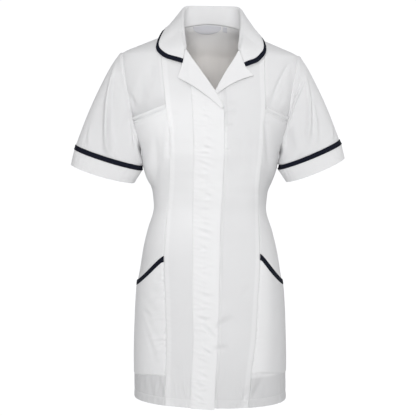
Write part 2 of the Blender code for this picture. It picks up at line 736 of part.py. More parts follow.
def collar_grid():
    """Sections from the right lapel, round the back of the neck, to the left lapel."""
    halves = {}
    for hand in (RIGHT, LEFT):
        end = NOTCH[hand][0] + COLLAR_LAPEL_GAP, NOTCH[hand][1] + 0.0003
        gorge = lapel_section(hand, GORGE_REACH + COLLAR_LAPEL_GAP, end, LAPEL_RISE)
        sections = [collar_section(hand, row) for row in COLLAR_STEPS]
        halves[hand] = [*sections, (sections[-1] + gorge) / 2, gorge]
    return np.array([*halves[RIGHT][::-1], *halves[LEFT][1:]])


def split_trim(grid):
    """The collar up to the trim, and the trim along its outer edge."""
    start = grid[:, 6]
    edge = grid[:, -1]
    length = np.linalg.norm(edge - start, axis=1)
    share = np.clip(1 - TRIM_WIDTH / length, 0.5, 0.95)[:, None]
    places = np.concatenate([[0], FALL_SHARES])
    fall = grid[:, 6:]

    def at(t):
        i = np.clip(np.searchsorted(places, t[:, 0]) - 1, 0, len(places) - 2)
        local = ((t[:, 0] - places[i]) / (places[i + 1] - places[i]))[:, None]
        rows = np.arange(len(fall))
        return fall[rows, i] * (1 - local) + fall[rows, i + 1] * local

    gap = (TRIM_GAP / length)[:, None]
    cloth = [at(share * t) for t in (0.25, 0.5, 0.75, 1.0)]
    trim = [at(share + gap), at((share + gap + 1) / 2), edge]
    return np.concatenate([grid[:, :7], np.stack(cloth, 1)], axis=1), np.stack(trim, 1)


def make_lapels(white):
    shares = np.array([0.0, 0.1, 0.2, 0.3, 0.4, 0.52, 0.64, 0.76, 0.87, 0.955])
    for hand, name in ((RIGHT, "right"), (LEFT, "left")):
        grid = lapel_grid(hand, shares)
        sheet(f"lapel_{name}", grid, LAPEL, white, offset=0, flip=hand == RIGHT)


def make_collar(white, navy):
    cloth, trim = split_trim(collar_grid())
    sheet("collar", cloth, DOUBLE, white, offset=0)
    sheet("collar_trim", trim, TRIM, navy, offset=0)


def make_labels(label):
    """The woven crescent and the small size tab, bare, inside the back neck."""

    def hung(name, middle, half_width, drop, curved):
        across = np.linspace(-1, 1, 9 if curved else 3)
        x = middle + half_width * across
        top = back_neck(x) - 0.0008
        foot = drop * (0.12 + 0.88 * np.sqrt(1 - across**2)) if curved else drop + 0 * x
        z = top - foot * np.linspace(0, 1, 4)[:, None]
        depth = -CLOTH - (0.0022 if curved else 0.0015)
        grid = skin(np.broadcast_to(x, z.shape), z, BACK, depth + 0.0 * z)
        sheet(name, grid, 0.001, label, offset=0)

    hung("neck_label", -0.0060, 0.0310, 0.0180, True)
    hung("size_tab", 0.0325, 0.0048, 0.0110, False)


def main():
    for old in list(bpy.data.objects):
        bpy.data.objects.remove(old)
    bpy.context.scene.collection.children.link(bpy.data.collections.new("tunic"))
    white = colour("white_twill", WHITE, 0.85)
    navy = colour("navy_trim", NAVY, 0.7)
    label = colour("woven_label", LABEL, 0.6)
    make_fronts(white)
    make_back(white)
    for hand, name in ((RIGHT, "right"), (LEFT, "left")):
        make_sides(hand, name, white)
        make_hip_pocket(hand, name, white, navy)
        make_sleeve(hand, name, white, navy)
    make_lapels(white)
    make_collar(white, navy)
    make_labels(label)


main()
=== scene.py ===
"""Looks of the medical tunic: thin cloth shells with creases, seams and stitching over its solids."""

import math

import bpy
import numpy as np
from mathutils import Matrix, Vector


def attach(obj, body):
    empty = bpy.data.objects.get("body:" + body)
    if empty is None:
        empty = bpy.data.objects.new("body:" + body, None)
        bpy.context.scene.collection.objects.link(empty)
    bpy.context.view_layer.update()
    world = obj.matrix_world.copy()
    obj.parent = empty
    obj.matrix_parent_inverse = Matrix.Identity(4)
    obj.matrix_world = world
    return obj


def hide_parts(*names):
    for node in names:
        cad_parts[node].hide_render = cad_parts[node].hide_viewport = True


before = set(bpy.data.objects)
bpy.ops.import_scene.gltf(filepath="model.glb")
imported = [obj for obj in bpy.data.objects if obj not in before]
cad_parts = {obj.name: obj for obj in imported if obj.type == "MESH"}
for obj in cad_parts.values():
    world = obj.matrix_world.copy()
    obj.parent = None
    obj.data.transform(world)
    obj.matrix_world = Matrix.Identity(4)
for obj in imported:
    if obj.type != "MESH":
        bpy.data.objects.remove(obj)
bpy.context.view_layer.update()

MM = 0.001  # metres in a millimetre

# Thickness of the cloth, and gaps between pieces
CLOTH = 0.0008
DOUBLE = 0.0015
TRIM = 0.0016
LAPEL_CLOTH = 0.0012
LABEL_CLOTH = 0.0006
SEAM_GAP = 0.00012
SHOULDER_GAP = 0.0001
BAND_GAP = 0.0008
POCKET_GAP = 0.0006

# Levels of the body, by height
HEM_Z = -0.7755
FRONT_HEM_DROP = 0.003
UNDERARM_Z = -0.249
COLLAR_SEAM_Z = 0.018
TOP_Z = 0.022
TIP_X, TIP_Z = 0.1865, -0.049
LEAN = 0.018  # how much lower everything lies for each metre towards the left
FRONT, BACK = -1, 1
RIGHT, LEFT = -1, 1
NAMES = {RIGHT: "right", LEFT: "left"}

# Trims and pockets
TRIM_WIDTH = 0.0095
MOUTH_LEVEL = 1.405
MOUTH_DROP = {RIGHT: 0.075, LEFT: 0.045}
CHEST_TUCK = 0.10
YOKE_GAP = {RIGHT: 0.0050, LEFT: 0.0034}
MOUTH_GROOVE = {RIGHT: 0.0050, LEFT: 0.0032}
HIP_POCKETS = {RIGHT: (-0.4675, 0.0590, -0.7150), LEFT: (-0.4600, 0.0600, -0.7065)}
FOOT_FALL = 0.011
POCKET_GAPE = 0.0006
POCKET_PUCKER = {RIGHT: 0.00130, LEFT: 0.00040}
TRIM_SWELL = {RIGHT: 0.5, LEFT: 1.7}

# Rows of stitching: distance in from the edge that each follows, and the thread
HEM_STITCH = 0.017
MOUTH_STITCH = 0.0075
CUFF_STITCH = 0.004
BAND_STITCH = 0.0012
POCKET_STITCH = 0.0014
STITCH, STITCH_GAP = 0.0021, 0.0006
THREAD = 0.00022  # half width of a stitch

# Tone of the white cloth, as plies of cloth added or taken away: one ply is darker, as painted shade of the
# hollow inside seen through it; the side, pocket and below-pocket tones are painted light and shade put in
# the same way; and a painted warm light inside the back
HEM_TONE = 0.4
EDGE_TONE = 0.9
SIDE_PAINTED_SHADING = {RIGHT: 1.5, LEFT: -0.6}
POCKET_SHADE = {RIGHT: 0.0, LEFT: 1.9}
BELOW_POCKET_PAINTED_SHADE = {RIGHT: -1.8, LEFT: -2.2}
# Painted warm light on the inside of the back, standing for light let through the cloth
PAINTED_WARM_LIGHT = (1.05, 1.015, 0.975, 1)

# Fabrics: slot, colour of a single ply and of many plies, roughness, ribs, sheen. The single ply's darker
# colour is painted shade of the hollow inside seen through thin cloth
FABRICS = {
    "white_twill": ("white_twill", (0.67, 0.67, 0.677, 1), (0.87, 0.87, 0.876, 1), 0.82, 620, 0.06),
    "navy_trim": ("navy_trim", (0.003, 0.0045, 0.013, 1), (0.003, 0.0045, 0.013, 1), 0.9, 620, 0.0),
    "woven_label": ("woven_label", (0.69, 0.695, 0.74, 1), (0.74, 0.745, 0.79, 1), 0.5, 900, 0.05),
    "thread": ("white_twill", (0.84, 0.84, 0.845, 1), (0.84, 0.84, 0.845, 1), 0.6, 900, 0.0),
}

# Studio. The surround gets brighter between two values along Y.
FLOOR_Z, FLOOR_RADIUS = -1.40, 2.4
PALE = (0.90, 0.90, 0.90, 1)
SURROUND_COLOUR = (0.985, 0.99, 1, 1)
SURROUND_START, SURROUND_END = 0.60, 0.95
AMBIENT, BEHIND = 0.25, 1.05
CAMERA_ANGLE, CAMERA_TILT, CAMERA_DISTANCE = 15.7, 4.15, 3.208
CAMERA_AIM = (-0.0043, 0, -0.372)
LAMP_AIM = (0, 0, -0.30)
LAMPS = (
    # name, place, size, watts
    ("lamp_high_left", (-0.45, -2.2, 0.60), 0.6, 12),
    ("lamp_top", (0, -1.1, 1.6), 1.0, 6.5),
    ("lamp_near_camera", (0, -3.6, 0.45), 0.7, 22),
    ("lamp_low_right", (0.85, -3.0, 0.0), 0.8, 16),
    ("lamp_far_left", (-2.5, -0.5, 0.8), 0.9, 12),
    ("lamp_far_right", (2.5, -0.5, 0.8), 0.9, 11),
    ("lamp_rim_right", (2.5, 0.6, 0.7), 0.9, 7),
)


class Table:
    """Rows of named columns, read smoothly between rows at a value of the first column. Sizes are
    given in millimetres and read in metres. The columns in PLAIN are read as they are given."""

    PLAIN = ("squareness", "row", "seam", "turn", "step")

    def __init__(self, names, *rows):
        scales = [1 if name in self.PLAIN else MM for name in names.split()]
        data = np.array(sorted(rows)).T * np.array(scales)[:, None]
        self.keys = data[0]
        self.columns = {}
        for name, values in zip(names.split()[1:], data[1:]):
            rises = np.diff(values) / np.diff(self.keys)
            before, after = rises[:-1], rises[1:]
            slopes = np.concatenate([rises[:1], np.zeros(len(values) - 2), rises[-1:]])
            same = before * after > 0
            slopes[1:-1][same] = (2 * before * after)[same] / (before + after)[same]
            self.columns[name] = values, slopes

    def at(self, name, key):
        values, slopes = self.columns[name]
        key = np.clip(key, self.keys[0], self.keys[-1])
        i = np.clip(np.searchsorted(self.keys, key) - 1, 0, len(self.keys) - 2)
        step = self.keys[i + 1] - self.keys[i]
        t = (key - self.keys[i]) / step
        start = (1 + 2 * t) * values[i] + t * step * slopes[i]
        end = (3 - 2 * t) * values[i + 1] + (t - 1) * step * slopes[i + 1]
        return (1 - t) ** 2 * start + t**2 * end


# Cross-sections of the body. Each is a rounded oval: front and back depth are from the side seam.
BODY = Table(
    "z half_width seam_y front_depth back_depth squareness",
    (-800, 161.5, 0, 122, 119, 2.35),
    (-700, 161.5, 0, 121, 119, 2.35),
    (-600, 159, 0, 118, 119, 2.35),
    (-540, 155, 0, 115, 117, 2.35),
    (-500, 148.5, 0, 111, 112, 2.35),
    (-460, 142, 0, 105, 104, 2.35),
    (-420, 132.5, 0, 98, 93, 2.3),
    (-370, 119, 0, 92, 84, 2.3),
    (-340, 122, 0, 96, 87, 2.3),
    (-310, 132.5, 0, 106, 94, 2.3),
    (-285, 141, 0, 117, 99, 2.3),
    (-249, 147, 0, 126, 103, 2.3),
    (-225, 154.5, 0, 126, 105, 2.3),
    (-200, 163.5, 0, 122, 107, 2.3),
    (-170, 175, 0, 115, 109, 2.25),
    (-140, 188, 0, 106, 109, 2.2),
    (-110, 197, 0, 97, 107, 2.2),
    (-80, 198, 1, 88, 103, 2.2),
    (-49, 186.5, 2, 80, 98, 2.2),
    (-41.5, 174, 2, 77, 94, 2.2),
    (-32, 151.5, 3, 72, 88, 2.2),
    (-21.5, 127, 5, 65, 81, 2.2),
    (-12, 104.5, 7, 58, 74, 2.2),
    (0, 78, 10, 48, 64, 2.2),
    (10, 64, 22, 40, 48, 2.2),
    (22, 50, 34, 34, 33, 2.2),
)

# Lines down the front: the closing line, how far the princess seams stand from it on each side, and
# the two edges of the band that hides the zip.
LINES = Table(
    "z centre princess band_left band_right",
    (-800, -8, 86, -33, 16),
    (-728, -5, 88, -34, 16),
    (-630, 2, 93, -37, 14),
    (-560, 3, 96, -40, 15),
    (-468, 4, 100, -41, 16),
    (-415, 5, 98, -42, 16),
    (-310, 9, 93, -44, 17),
    (-250, 12, 95, -46, 17),
    (-200, 13, 98, -48, 16),
    (-157, 12, 103, -49, 16),
    (-100, 8, 105, -49, 16),
    (-30, 4, 107, -49, 16),
    (0, 0, 107, -49, 16),
)

# The neckline on each front, from where it folds back past the closing line up to the shoulder.
NECK = Table(
    "reach z",
    (-16, -165),
    (-9, -146),
    (0, -128.5),
    (27, -85),
    (55.5, -41.5),
    (67, -17),
    (78, 0),
    (96, 30),
)
NECK_HALF = 0.078
UNDERLAP = -0.012  # where the left front ends, past the closing line
BAND_OVER = 0.006  # how far the right front runs on under the band

# The front of each armhole in front view; the back is the same.
ARMHOLE = Table(
    "z x",
    (-249, 147),
    (-238, 149.2),
    (-225, 151.5),
    (-200, 159.5),
    (-170, 165.5),
    (-140, 171),
    (-110, 177),
    (-80, 182.5),
    (TIP_Z / MM, TIP_X / MM),
)

# Main folds in the body, as in its solids, in millimetres: a valley where depth is positive.
FOLDS = (
    # side, x and z of one end, x and z of the other, width, depth
    (FRONT, 168, -66, 128, -150, 11, 3),
    (FRONT, -122, -85, -146, -160, 12, 2.2),
    (FRONT, -72, -175, -86, -255, 7, 1.8),
    (FRONT, 113, -195, 124, -262, 8, 1.6),
    (FRONT, 60, -800, 70, -745, 9, 2.4),
    (FRONT, -74, -790, -70, -700, 10, 1.6),
    (BACK, 120, -110, 92, -230, 12, 2.6),
    (BACK, -120, -110, -90, -235, 12, 2.6),
    (BACK, 60, -330, -15, -372, 10, 1.6),
    (BACK, -65, -325, 10, -352, 10, 1.4),
    (BACK, 72, -790, 60, -560, 14, 2.8),
    (BACK, -68, -790, -58, -580, 14, 2.6),
)

# Creases in the body, in millimetres, one row each: a trough that fades out at both ends, with a soft
# ridge beside it. Bow is how far its middle is pushed to the side, and lean says which side the
# ridge is on.
CREASES = (
    # side, x and z of the upper end, x and z of the lower end, bow, width, depth, lean
    (FRONT, 167, -62, 127, -149, -3, 4.5, 4.4, 0.9),
    (FRONT, 175, -70, 164, -165, 2, 8, 2.7, -0.8),
    (FRONT, 150, -120, 140, -160, 2, 5, 1.5, 0.6),
    (FRONT, -139, -85, -156, -160, 4, 9, 2.4, -0.6),
    (FRONT, -168, -130, -158, -166, 1, 5.5, 3.4, 0.3),
    (FRONT, -118, -60, -126, -110, 0, 8, 1.2, 0.4),
    (FRONT, -113, -205, -119, -345, 3, 8, 4.6, -0.7),
    (FRONT, -74, -166, -87, -262, -4, 3.5, 2.4, 0.7),
    (FRONT, -100, -180, -104, -300, 1, 6, 1.4, 0.5),
    (FRONT, 112, -168, 122, -290, 2, 5.5, 2.7, -0.8),
    (FRONT, 84, -190, 81, -345, 2, 9, 1.7, 0.6),
    (FRONT, 64, -200, 66, -300, -2, 8, 1, -0.5),
    (FRONT, 128, -290, 112, -352, 3, 6, 1.5, 0.5),
    (FRONT, -126, -300, -108, -356, -3, 6, 1.5, 0.5),
    (FRONT, 30, -151, 60, -151, 1, 2.2, 1.7, 0.5),
    (FRONT, 29, -169, 56, -166, 1, 2.4, 2, 0.5),
    (FRONT, 29, -181, 46, -180, 0, 2, 1, -0.5),
    (FRONT, 30, -194, 48, -193, 0, 2.2, 1.4, 0.5),
    (FRONT, 28, -207, 42, -206, 0, 2, 1, 0.5),
    (FRONT, 28, -243, 42, -242, 0, 2.2, 1, 0.5),
    (FRONT, 6, -622, 52, -588, 3, 8.5, 4.6, 0.6),
    (FRONT, 6, -659, 38, -650, 1, 6.5, 3.6, 0.5),
    (FRONT, 60, -555, 90, -520, 2, 8, 1.2, 0.5),
    (FRONT, 85, -760, 108, -700, -6, 7.5, 3.1, 0.8),
    (FRONT, 66, -768, 81, -730, -2, 4.5, 2.4, 0.8),
    (FRONT, 98, -765, 100, -728, 2, 4, 1.4, -0.6),
    (FRONT, -108, -712, -102, -765, 1, 4.5, 1.7, 0.6),
    (FRONT, -83, -710, -80, -766, 1, 5, 1.5, -0.5),
    (FRONT, -60, -722, -63, -764, 1, 4, 1, 0.5),
    (FRONT, -125, -722, -122, -762, 0, 4, 1.2, 0.5),
    (FRONT, -140, -725, -138, -765, 0, 4.5, 1, -0.5),
    (BACK, 40, 4, 30, -100, 4, 9, 4.6, 0.8),
    (BACK, -30, -8, -16, -115, -3, 10, 3.6, -0.7),
    (BACK, 8, -45, 2, -130, 2, 9, 1.4, 0.5),
    (BACK, 150, -75, 118, -190, 4, 7, 2.7, 0.8),
    (BACK, -148, -80, -115, -200, -4, 7.5, 2.7, -0.8),
    (BACK, 168, -100, 150, -210, 3, 6, 2, 0.6),
    (BACK, -170, -105, -152, -205, -3, 6, 2, -0.6),
    (BACK, 115, -310, 30, -345, 4, 6, 2, 0.6),
    (BACK, -118, -305, -35, -350, -3, 6.5, 2, 0.6),
    (BACK, 112, -385, 45, -360, 2, 6, 1.7, -0.6),
    (BACK, -108, -392, -40, -366, 3, 5.5, 1.7, 0.6),
    (BACK, 20, -300, -45, -318, 2, 7, 1.2, 0.5),
    (BACK, 105, -775, 98, -600, -3, 8, 2.4, 0.7),
    (BACK, -102, -775, -92, -630, 3, 8, 2.2, -0.7),
    (BACK, 28, -778, 20, -660, 2, 8, 1.7, 0.5),
    (BACK, -30, -778, -22, -690, -2, 7, 1.5, -0.5),
)

# Drag lines across the band, as in CREASES.
BAND_CREASES = (
    (-18, -602, 13, -637, 1, 4.2, 2.6, 0.7),
    (-30, -725, -9, -739, -1, 4, 2.2, 0.7),
    (-14, -656, -2, -667, 0, 3.4, 1.8, 0.6),
    (-30, -588, -4, -600, 1, 3.2, 1.4, 0.6),
    (-34, -536, 14, -548, -1, 3.4, 1.5, 0.6),
    (-30, -498, 6, -510, 1, 3.4, 1.3, -0.5),
    (-32, -455, 0, -446, 1, 3.6, 1.2, 0.5),
    (-28, -408, 10, -422, 0, 3.8, 1.3, 0.5),
    (-26, -352, 6, -340, 1, 3.6, 1.1, -0.5),
    (-30, -300, 4, -312, 0, 3.6, 1.1, 0.5),
    (-20, -238, 14, -246, 1, 3.6, 1, 0.5),
)

# Creases in the hip pockets, as in CREASES.
POCKET_CREASES = {
    RIGHT: (
        (-146, -590, -109, -703, 2, 5, 1.4, 0.8),
        (-139, -575, -96, -662, -4, 6, 1.2, -0.7),
        (-141, -580, -120, -599, 0, 3.5, 1, 0.6),
        (-150, -545, -104, -600, 3, 7, 0.8, 0.6),
        (-130, -520, -98, -560, -2, 7, 0.7, 0.5),
    ),
    LEFT: (
        (145, -560, 118, -660, -2, 8, 0.8, 0.6),
        (122, -520, 104, -600, 2, 7, 0.6, -0.5),
        (150, -610, 134, -690, 1, 6, 0.6, 0.5),
    ),
}

# The collar from the centre back to its front corner, on one side, as in its solid.
COLLAR = Table(
    "row seam roll_x roll_y roll_z turn edge_z lift",
    (0, 0, 0, 76, 58.5, 180, -9, 4),
    (1, 0.36, 29, 75.5, 58.5, 160, -10, 4),
    (2, 0.62, 53, 65, 57, 138, -12, 5),
    (3, 0.87, 62, 40, 48, 118, -10.5, 7.5),
    (4, 1, 62.5, 8, 32, 88, -6.5, 10.5),
    (4.5, 1.15, 62, -6.5, 21.5, 56, -20, 6.5),
    (5, 1.3, 61, -21, 11, 41, -37, 5),
    (6, 1.6, 59, -44, -11, 32.5, -49, 4.5),
    (7, 1.78, 57.5, -56.5, -23.5, 27.2, -57.7, 4.5),
    (8, 1.9, 56, -63, -32, 21.5, -63, 4.5),
)
COLLAR_TWIST = Table(
    "row turn down lift",
    (0, 0, 0, 0),
    (3, 1, 2, -2),
    (4, -1, 4.5, -5.5),
    (4.5, 1, 4, -1),
    (5, 0, 2.3, 0),
    (6, 1, 3, 0),
    (7, 1, 6, 0),
    (8, 1, 7, 0),
)
COLLAR_X = 0.0045
NOTCH = {RIGHT: (0.0622, -0.0690), LEFT: (0.0650, -0.0745)}
LAPEL_POINT = {RIGHT: (0.0740, -0.0995), LEFT: (0.0810, -0.0925)}
GORGE_REACH = 0.0555
BREAK = {RIGHT: -0.0160, LEFT: -0.0030}
LAPEL_RISE = 0.0030
LAPEL_CORNER = 0.30  # share of the fold at which the outer edge turns at the lapel's point
COLLAR_LAPEL_GAP = 0.0004
ROLL_RADIUS = 0.0032
SEAM_CLEAR = 0.0007
TRIM_GAP = 0.0002

# The end of each sleeve and its cuff, in front view. Rows: trim top, trim foot, cuff hem. Columns: x
# and z of the middle, half width, tilt in degrees, half depth, how much lower the front hangs.
SLEEVES = {
    RIGHT: (
        (0.2138, -0.2630, 0.0722, 16.5, 0.046, 0.003),
        (0.2152, -0.2727, 0.0735, 16.4, 0.047, 0.004),
        (0.2274, -0.3020, 0.0682, 15.0, 0.046, 0.0055),
    ),
    LEFT: (
        (0.2102, -0.2494, 0.0680, 24.0, 0.046, 0.003),
        (0.2110, -0.2588, 0.0715, 23.0, 0.047, 0.004),
        (0.2229, -0.2860, 0.0655, 23.0, 0.046, 0.0055),
    ),
}
SLEEVE_Y = -0.004
SHOULDER_SLOPE = {RIGHT: 30, LEFT: 34}  # degrees below level at the top of each sleeve
# Folds and creases along the sleeves, as angles round them from the outer edge. The front is at 90
# degrees. Share 0 is the armhole and 1 the trim. Here a positive depth is a ridge, with a valley
# beside it on the side that lean says.
SLEEVE_FOLDS = {
    RIGHT: (
        # start angle, start share, end angle, end share, bow, width in degrees, depth, lean
        (20, 0.12, 96, 1.12, -10, 11, 0.0056, -0.5),
        (18, 0.15, 92, 1.04, -10, 5.2, 0.0062, -0.8),
        (58, 0.42, 91, 0.97, 1, 3.6, 0.0030, 0.7),
        (35, 0.74, 56, 1.00, 0, 4.0, 0.0020, 0.6),
        (98, 0.84, 97, 1.04, 0, 3.0, 0.0017, 0.6),
        (118, 0.10, 128, 0.80, -4, 8.0, 0.0024, 0.6),
        (158, 0.35, 172, 1.10, 0, 15, 0.0010, 0.0),
        (172, 0.45, 177, 1.40, 0, 18, 0.0022, 0.0),
        (285, 0.15, 262, 1.05, 4, 12.0, 0.0075, 0.3),
        (250, 0.10, 240, 0.80, 3, 6.0, 0.0031, -0.7),
        (305, 0.30, 312, 1.00, 3, 6.0, 0.0027, 0.7),
    ),
    LEFT: (
        (28, 0.20, 102, 1.08, -2, 11, 0.0050, 0.4),
        (30, 0.22, 101, 0.90, -3, 5.0, 0.0062, 0.9),
        (158, 0.35, 172, 1.10, 0, 15, 0.0010, 0.0),
        (172, 0.45, 177, 1.40, 0, 18, 0.0030, 0.0),
        (42, 0.42, 83, 1.02, -1, 3.8, 0.0034, -0.7),
        (34, 0.23, 126, 0.03, 2, 4.5, 0.0050, -0.7),
        (20, 0.82, 48, 1.00, 0, 4.0, 0.0020, 0.6),
        (112, 0.30, 108, 1.00, 3, 9.0, 0.0034, 0.5),
        (290, 0.15, 270, 1.00, 4, 12.0, 0.0075, 0.3),
        (248, 0.10, 244, 0.85, 3, 6.0, 0.0031, 0.7),
        (310, 0.25, 316, 0.95, -3, 6.0, 0.0027, -0.7),
    ),
}


# Helpers


def soft_step(value, at, width):
    """0 well below a value and 1 well above it."""
    t = np.clip((value - at) / width + 0.5, 0, 1)
    return t * t * (3 - 2 * t)


def unit(vectors):
    """The same directions with length 1."""
    return vectors / np.maximum(np.linalg.norm(vectors, axis=-1, keepdims=True), 1e-12)


def run_lengths(points, axis=0):
    """Distance run along points from the first of them."""
    steps = np.linalg.norm(np.diff(points, axis=axis), axis=-1)
    return np.concatenate([np.zeros_like(steps.take([0], axis)), np.cumsum(steps, axis)], axis)


# Body surface


def fullness(x, y, z):
    """Under 1 inside the body's form, 1 on its surface."""
    across = np.abs(x) / BODY.at("half_width", z)
    along = y - BODY.at("seam_y", z)
    depth = np.where(along < 0, BODY.at("front_depth", z), BODY.at("back_depth", z))
    power = BODY.at("squareness", z)
    return across**power + (np.abs(along) / depth) ** power


def outward(point):
    """Unit direction out of the body's form, and the distance from its surface, at each point."""
    step = 1e-4
    slopes = []
    for axis in range(3):
        shift = np.zeros(3)
        shift[axis] = step
        ahead, behind = point + shift, point - shift
        rise = fullness(*np.moveaxis(ahead, -1, 0)) - fullness(*np.moveaxis(behind, -1, 0))
        slopes.append(rise / (2 * step))
    slope = np.stack(slopes, -1)
    steepness = np.linalg.norm(slope, axis=-1, keepdims=True)
    distance = (fullness(*np.moveaxis(point, -1, 0))[..., None] - 1) / steepness
    return slope / steepness, distance[..., 0]


def trough(u, v, u0, v0, u1, v1, bow, width, depth, lean, stretch=1.0):
    """Depth of one crease at u and v: deepest midway along it, with a ridge to one side."""
    du, dv = u1 - u0, (v1 - v0) * stretch
    length = math.hypot(du, dv)
    along = ((u - u0) * du + (v - v0) * stretch * dv) / length**2
    across = ((v - v0) * stretch * du - (u - u0) * dv) / length
    fade = np.clip(1 - (2 * along - 1) ** 2, 0, 1) ** 1.3
    across = (across - bow * 4 * along * (1 - along)) / (width * (0.7 + 0.5 * np.clip(along, 0, 1)))
    valley = np.exp(-(across**2))
    ridge = np.exp(-(((across - 1.9 * np.sign(lean)) / 1.4) ** 2)) * abs(lean) * 0.75
    return depth * fade * (valley - ridge)


def crease(x, z, row):
    """Depth at x and z of the crease that a row gives: sizes in millimetres, and its lean."""
    *sizes, lean = row
    return trough(x, z, *(MM * np.array(sizes)), lean)


def fold_depth(x, z, side):
    total = np.zeros(np.broadcast(x, z).shape)
    for fold_side, *sizes in FOLDS:
        if fold_side == side:
            x0, z0, x1, z1, width, depth = MM * np.array(sizes)
            span = (x1 - x0) ** 2 + (z1 - z0) ** 2
            along = ((x - x0) * (x1 - x0) + (z - z0) * (z1 - z0)) / span
            t = np.clip(along, 0, 1)
            away = np.hypot(x - x0 - t * (x1 - x0), z - z0 - t * (z1 - z0))
            total = total + depth * np.exp(-((away / width) ** 2))
    for crease_side, *row in CREASES:
        if crease_side == side:
            total = total + crease(x, z, row)
    return total + unevenness(x, z, side)


def unevenness(x, z, side):
    """Slow, faint waves of cloth that isn't pressed quite flat."""
    a = np.sin(31 * x + 9 * z + side) * np.sin(13 * z - 17 * x + 2 * side)
    b = np.sin(83 * x - 21 * z + 1.3 * side) * np.sin(37 * z + 29 * x)
    return 0.00035 * a + 0.00016 * b


def skin(x, z, side, lift=0.0):
    """Points of the garment's outer surface at x and z, moved out by lift."""
    half = BODY.at("half_width", z)
    x = np.clip(x, -half, half)
    depth = BODY.at("front_depth" if side == FRONT else "back_depth", z)
    power = BODY.at("squareness", z)
    out = depth * (1 - np.abs(x / half) ** power) ** (1 / power)
    y = BODY.at("seam_y", z) + side * np.maximum(out, SHOULDER_GAP)
    point = np.stack(np.broadcast_arrays(x, y, z), -1)
    direction, _ = outward(point)
    return point + direction * (lift - fold_depth(x, z, side))[..., None]


def centre(z):
    return LINES.at("centre", z)


def princess(hand, z):
    return centre(z) + hand * LINES.at("princess", z)


def body_edge(hand, z):
    """The side seam below the underarm, and the armhole above it."""
    armhole = np.where(z > TIP_Z, TIP_X, ARMHOLE.at("x", z))
    return hand * np.where(z < UNDERARM_Z, BODY.at("half_width", z), armhole)


def back_neck(x):
    share = np.abs(x) / NECK_HALF
    return np.where(share < 1, COLLAR_SEAM_Z * (1 - share**2), TOP_Z)


def neckline(x, z, side, hand):
    return back_neck(x) if side == BACK else NECK.at("z", hand * (x - centre(z)))


def highest(across, side, hand):
    """The height at which each column meets the shoulder seam or the neckline."""
    low = np.full(np.shape(across(UNDERARM_Z)), UNDERARM_Z)
    high = np.full(low.shape, TOP_Z)
    for _ in range(40):
        z = (low + high) / 2
        x = across(z)
        inside = (np.abs(x) <= BODY.at("half_width", z)) & (z <= neckline(x, z, side, hand))
        low, high = np.where(inside, z, low), np.where(inside, high, z)
    return low


def hem(x, side):
    drop = FRONT_HEM_DROP * np.clip(1 - (x / 0.16) ** 2, 0, 1)
    return HEM_Z - drop if side == FRONT else np.full(np.shape(x), HEM_Z)


def panel(left, right, shares, levels, side, hand=RIGHT, lift=lambda x, z: 0.0 * x, low=None):
    """Grid of points between two lines down the body. Level 0 is the hem, 1 the underarm, 2 the top."""
    shares = np.asarray(shares)
    levels = np.asarray(levels)
    if levels.ndim == 1:
        levels = levels[:, None]

    def across(z):
        return left(z) + (right(z) - left(z)) * shares

    top = highest(across, side, hand)
    foot = hem(across(HEM_Z), side) if low is None else np.full(shares.shape, low)
    below = foot + (UNDERARM_Z - foot) * levels
    above = UNDERARM_Z + (top - UNDERARM_Z) * (levels - 1)
    z = np.where(levels < 1, below, above)
    x = across(z)
    return skin(x, z, side, lift(x, z))


def near_ends(count, fine, share, start=True, end=True):
    """Steps from 0 to 1, with finer ones within a share of either end."""
    middle = np.linspace(share * start, 1 - share * end, count)
    low = np.linspace(0, share, fine, endpoint=False) if start else []
    high = 1 - np.linspace(0, share, fine, endpoint=False)[::-1] if end else []
    return np.concatenate([low, middle, high])


LOWER = near_ends(200, 22, 0.04, end=False)
MIDDLE = np.linspace(1, MOUTH_LEVEL, 46)
UPPER = MOUTH_LEVEL + (2 - MOUTH_LEVEL) * (1 - (1 - np.linspace(0, 1, 56)) ** 1.5)
ARMHOLE_LEVELS = np.concatenate([MIDDLE, UPPER[1:]])
ALL_LEVELS = np.concatenate([LOWER[:-1], ARMHOLE_LEVELS])
SIDE_SHARES = np.sin(near_ends(34, 9, 0.06, end=False) * np.pi / 2)


def tilted(levels, shares, hand):
    """Levels moved so that the row at the chest pocket's mouth falls towards the armhole."""
    levels = np.asarray(levels)[:, None]
    below = (levels - 1) / (MOUTH_LEVEL - 1)
    above = (2 - levels) / (2 - MOUTH_LEVEL)
    weight = np.clip(np.minimum(below, above), 0, None)
    return levels - MOUTH_DROP[hand] * weight * np.asarray(shares)


# Cloth pieces


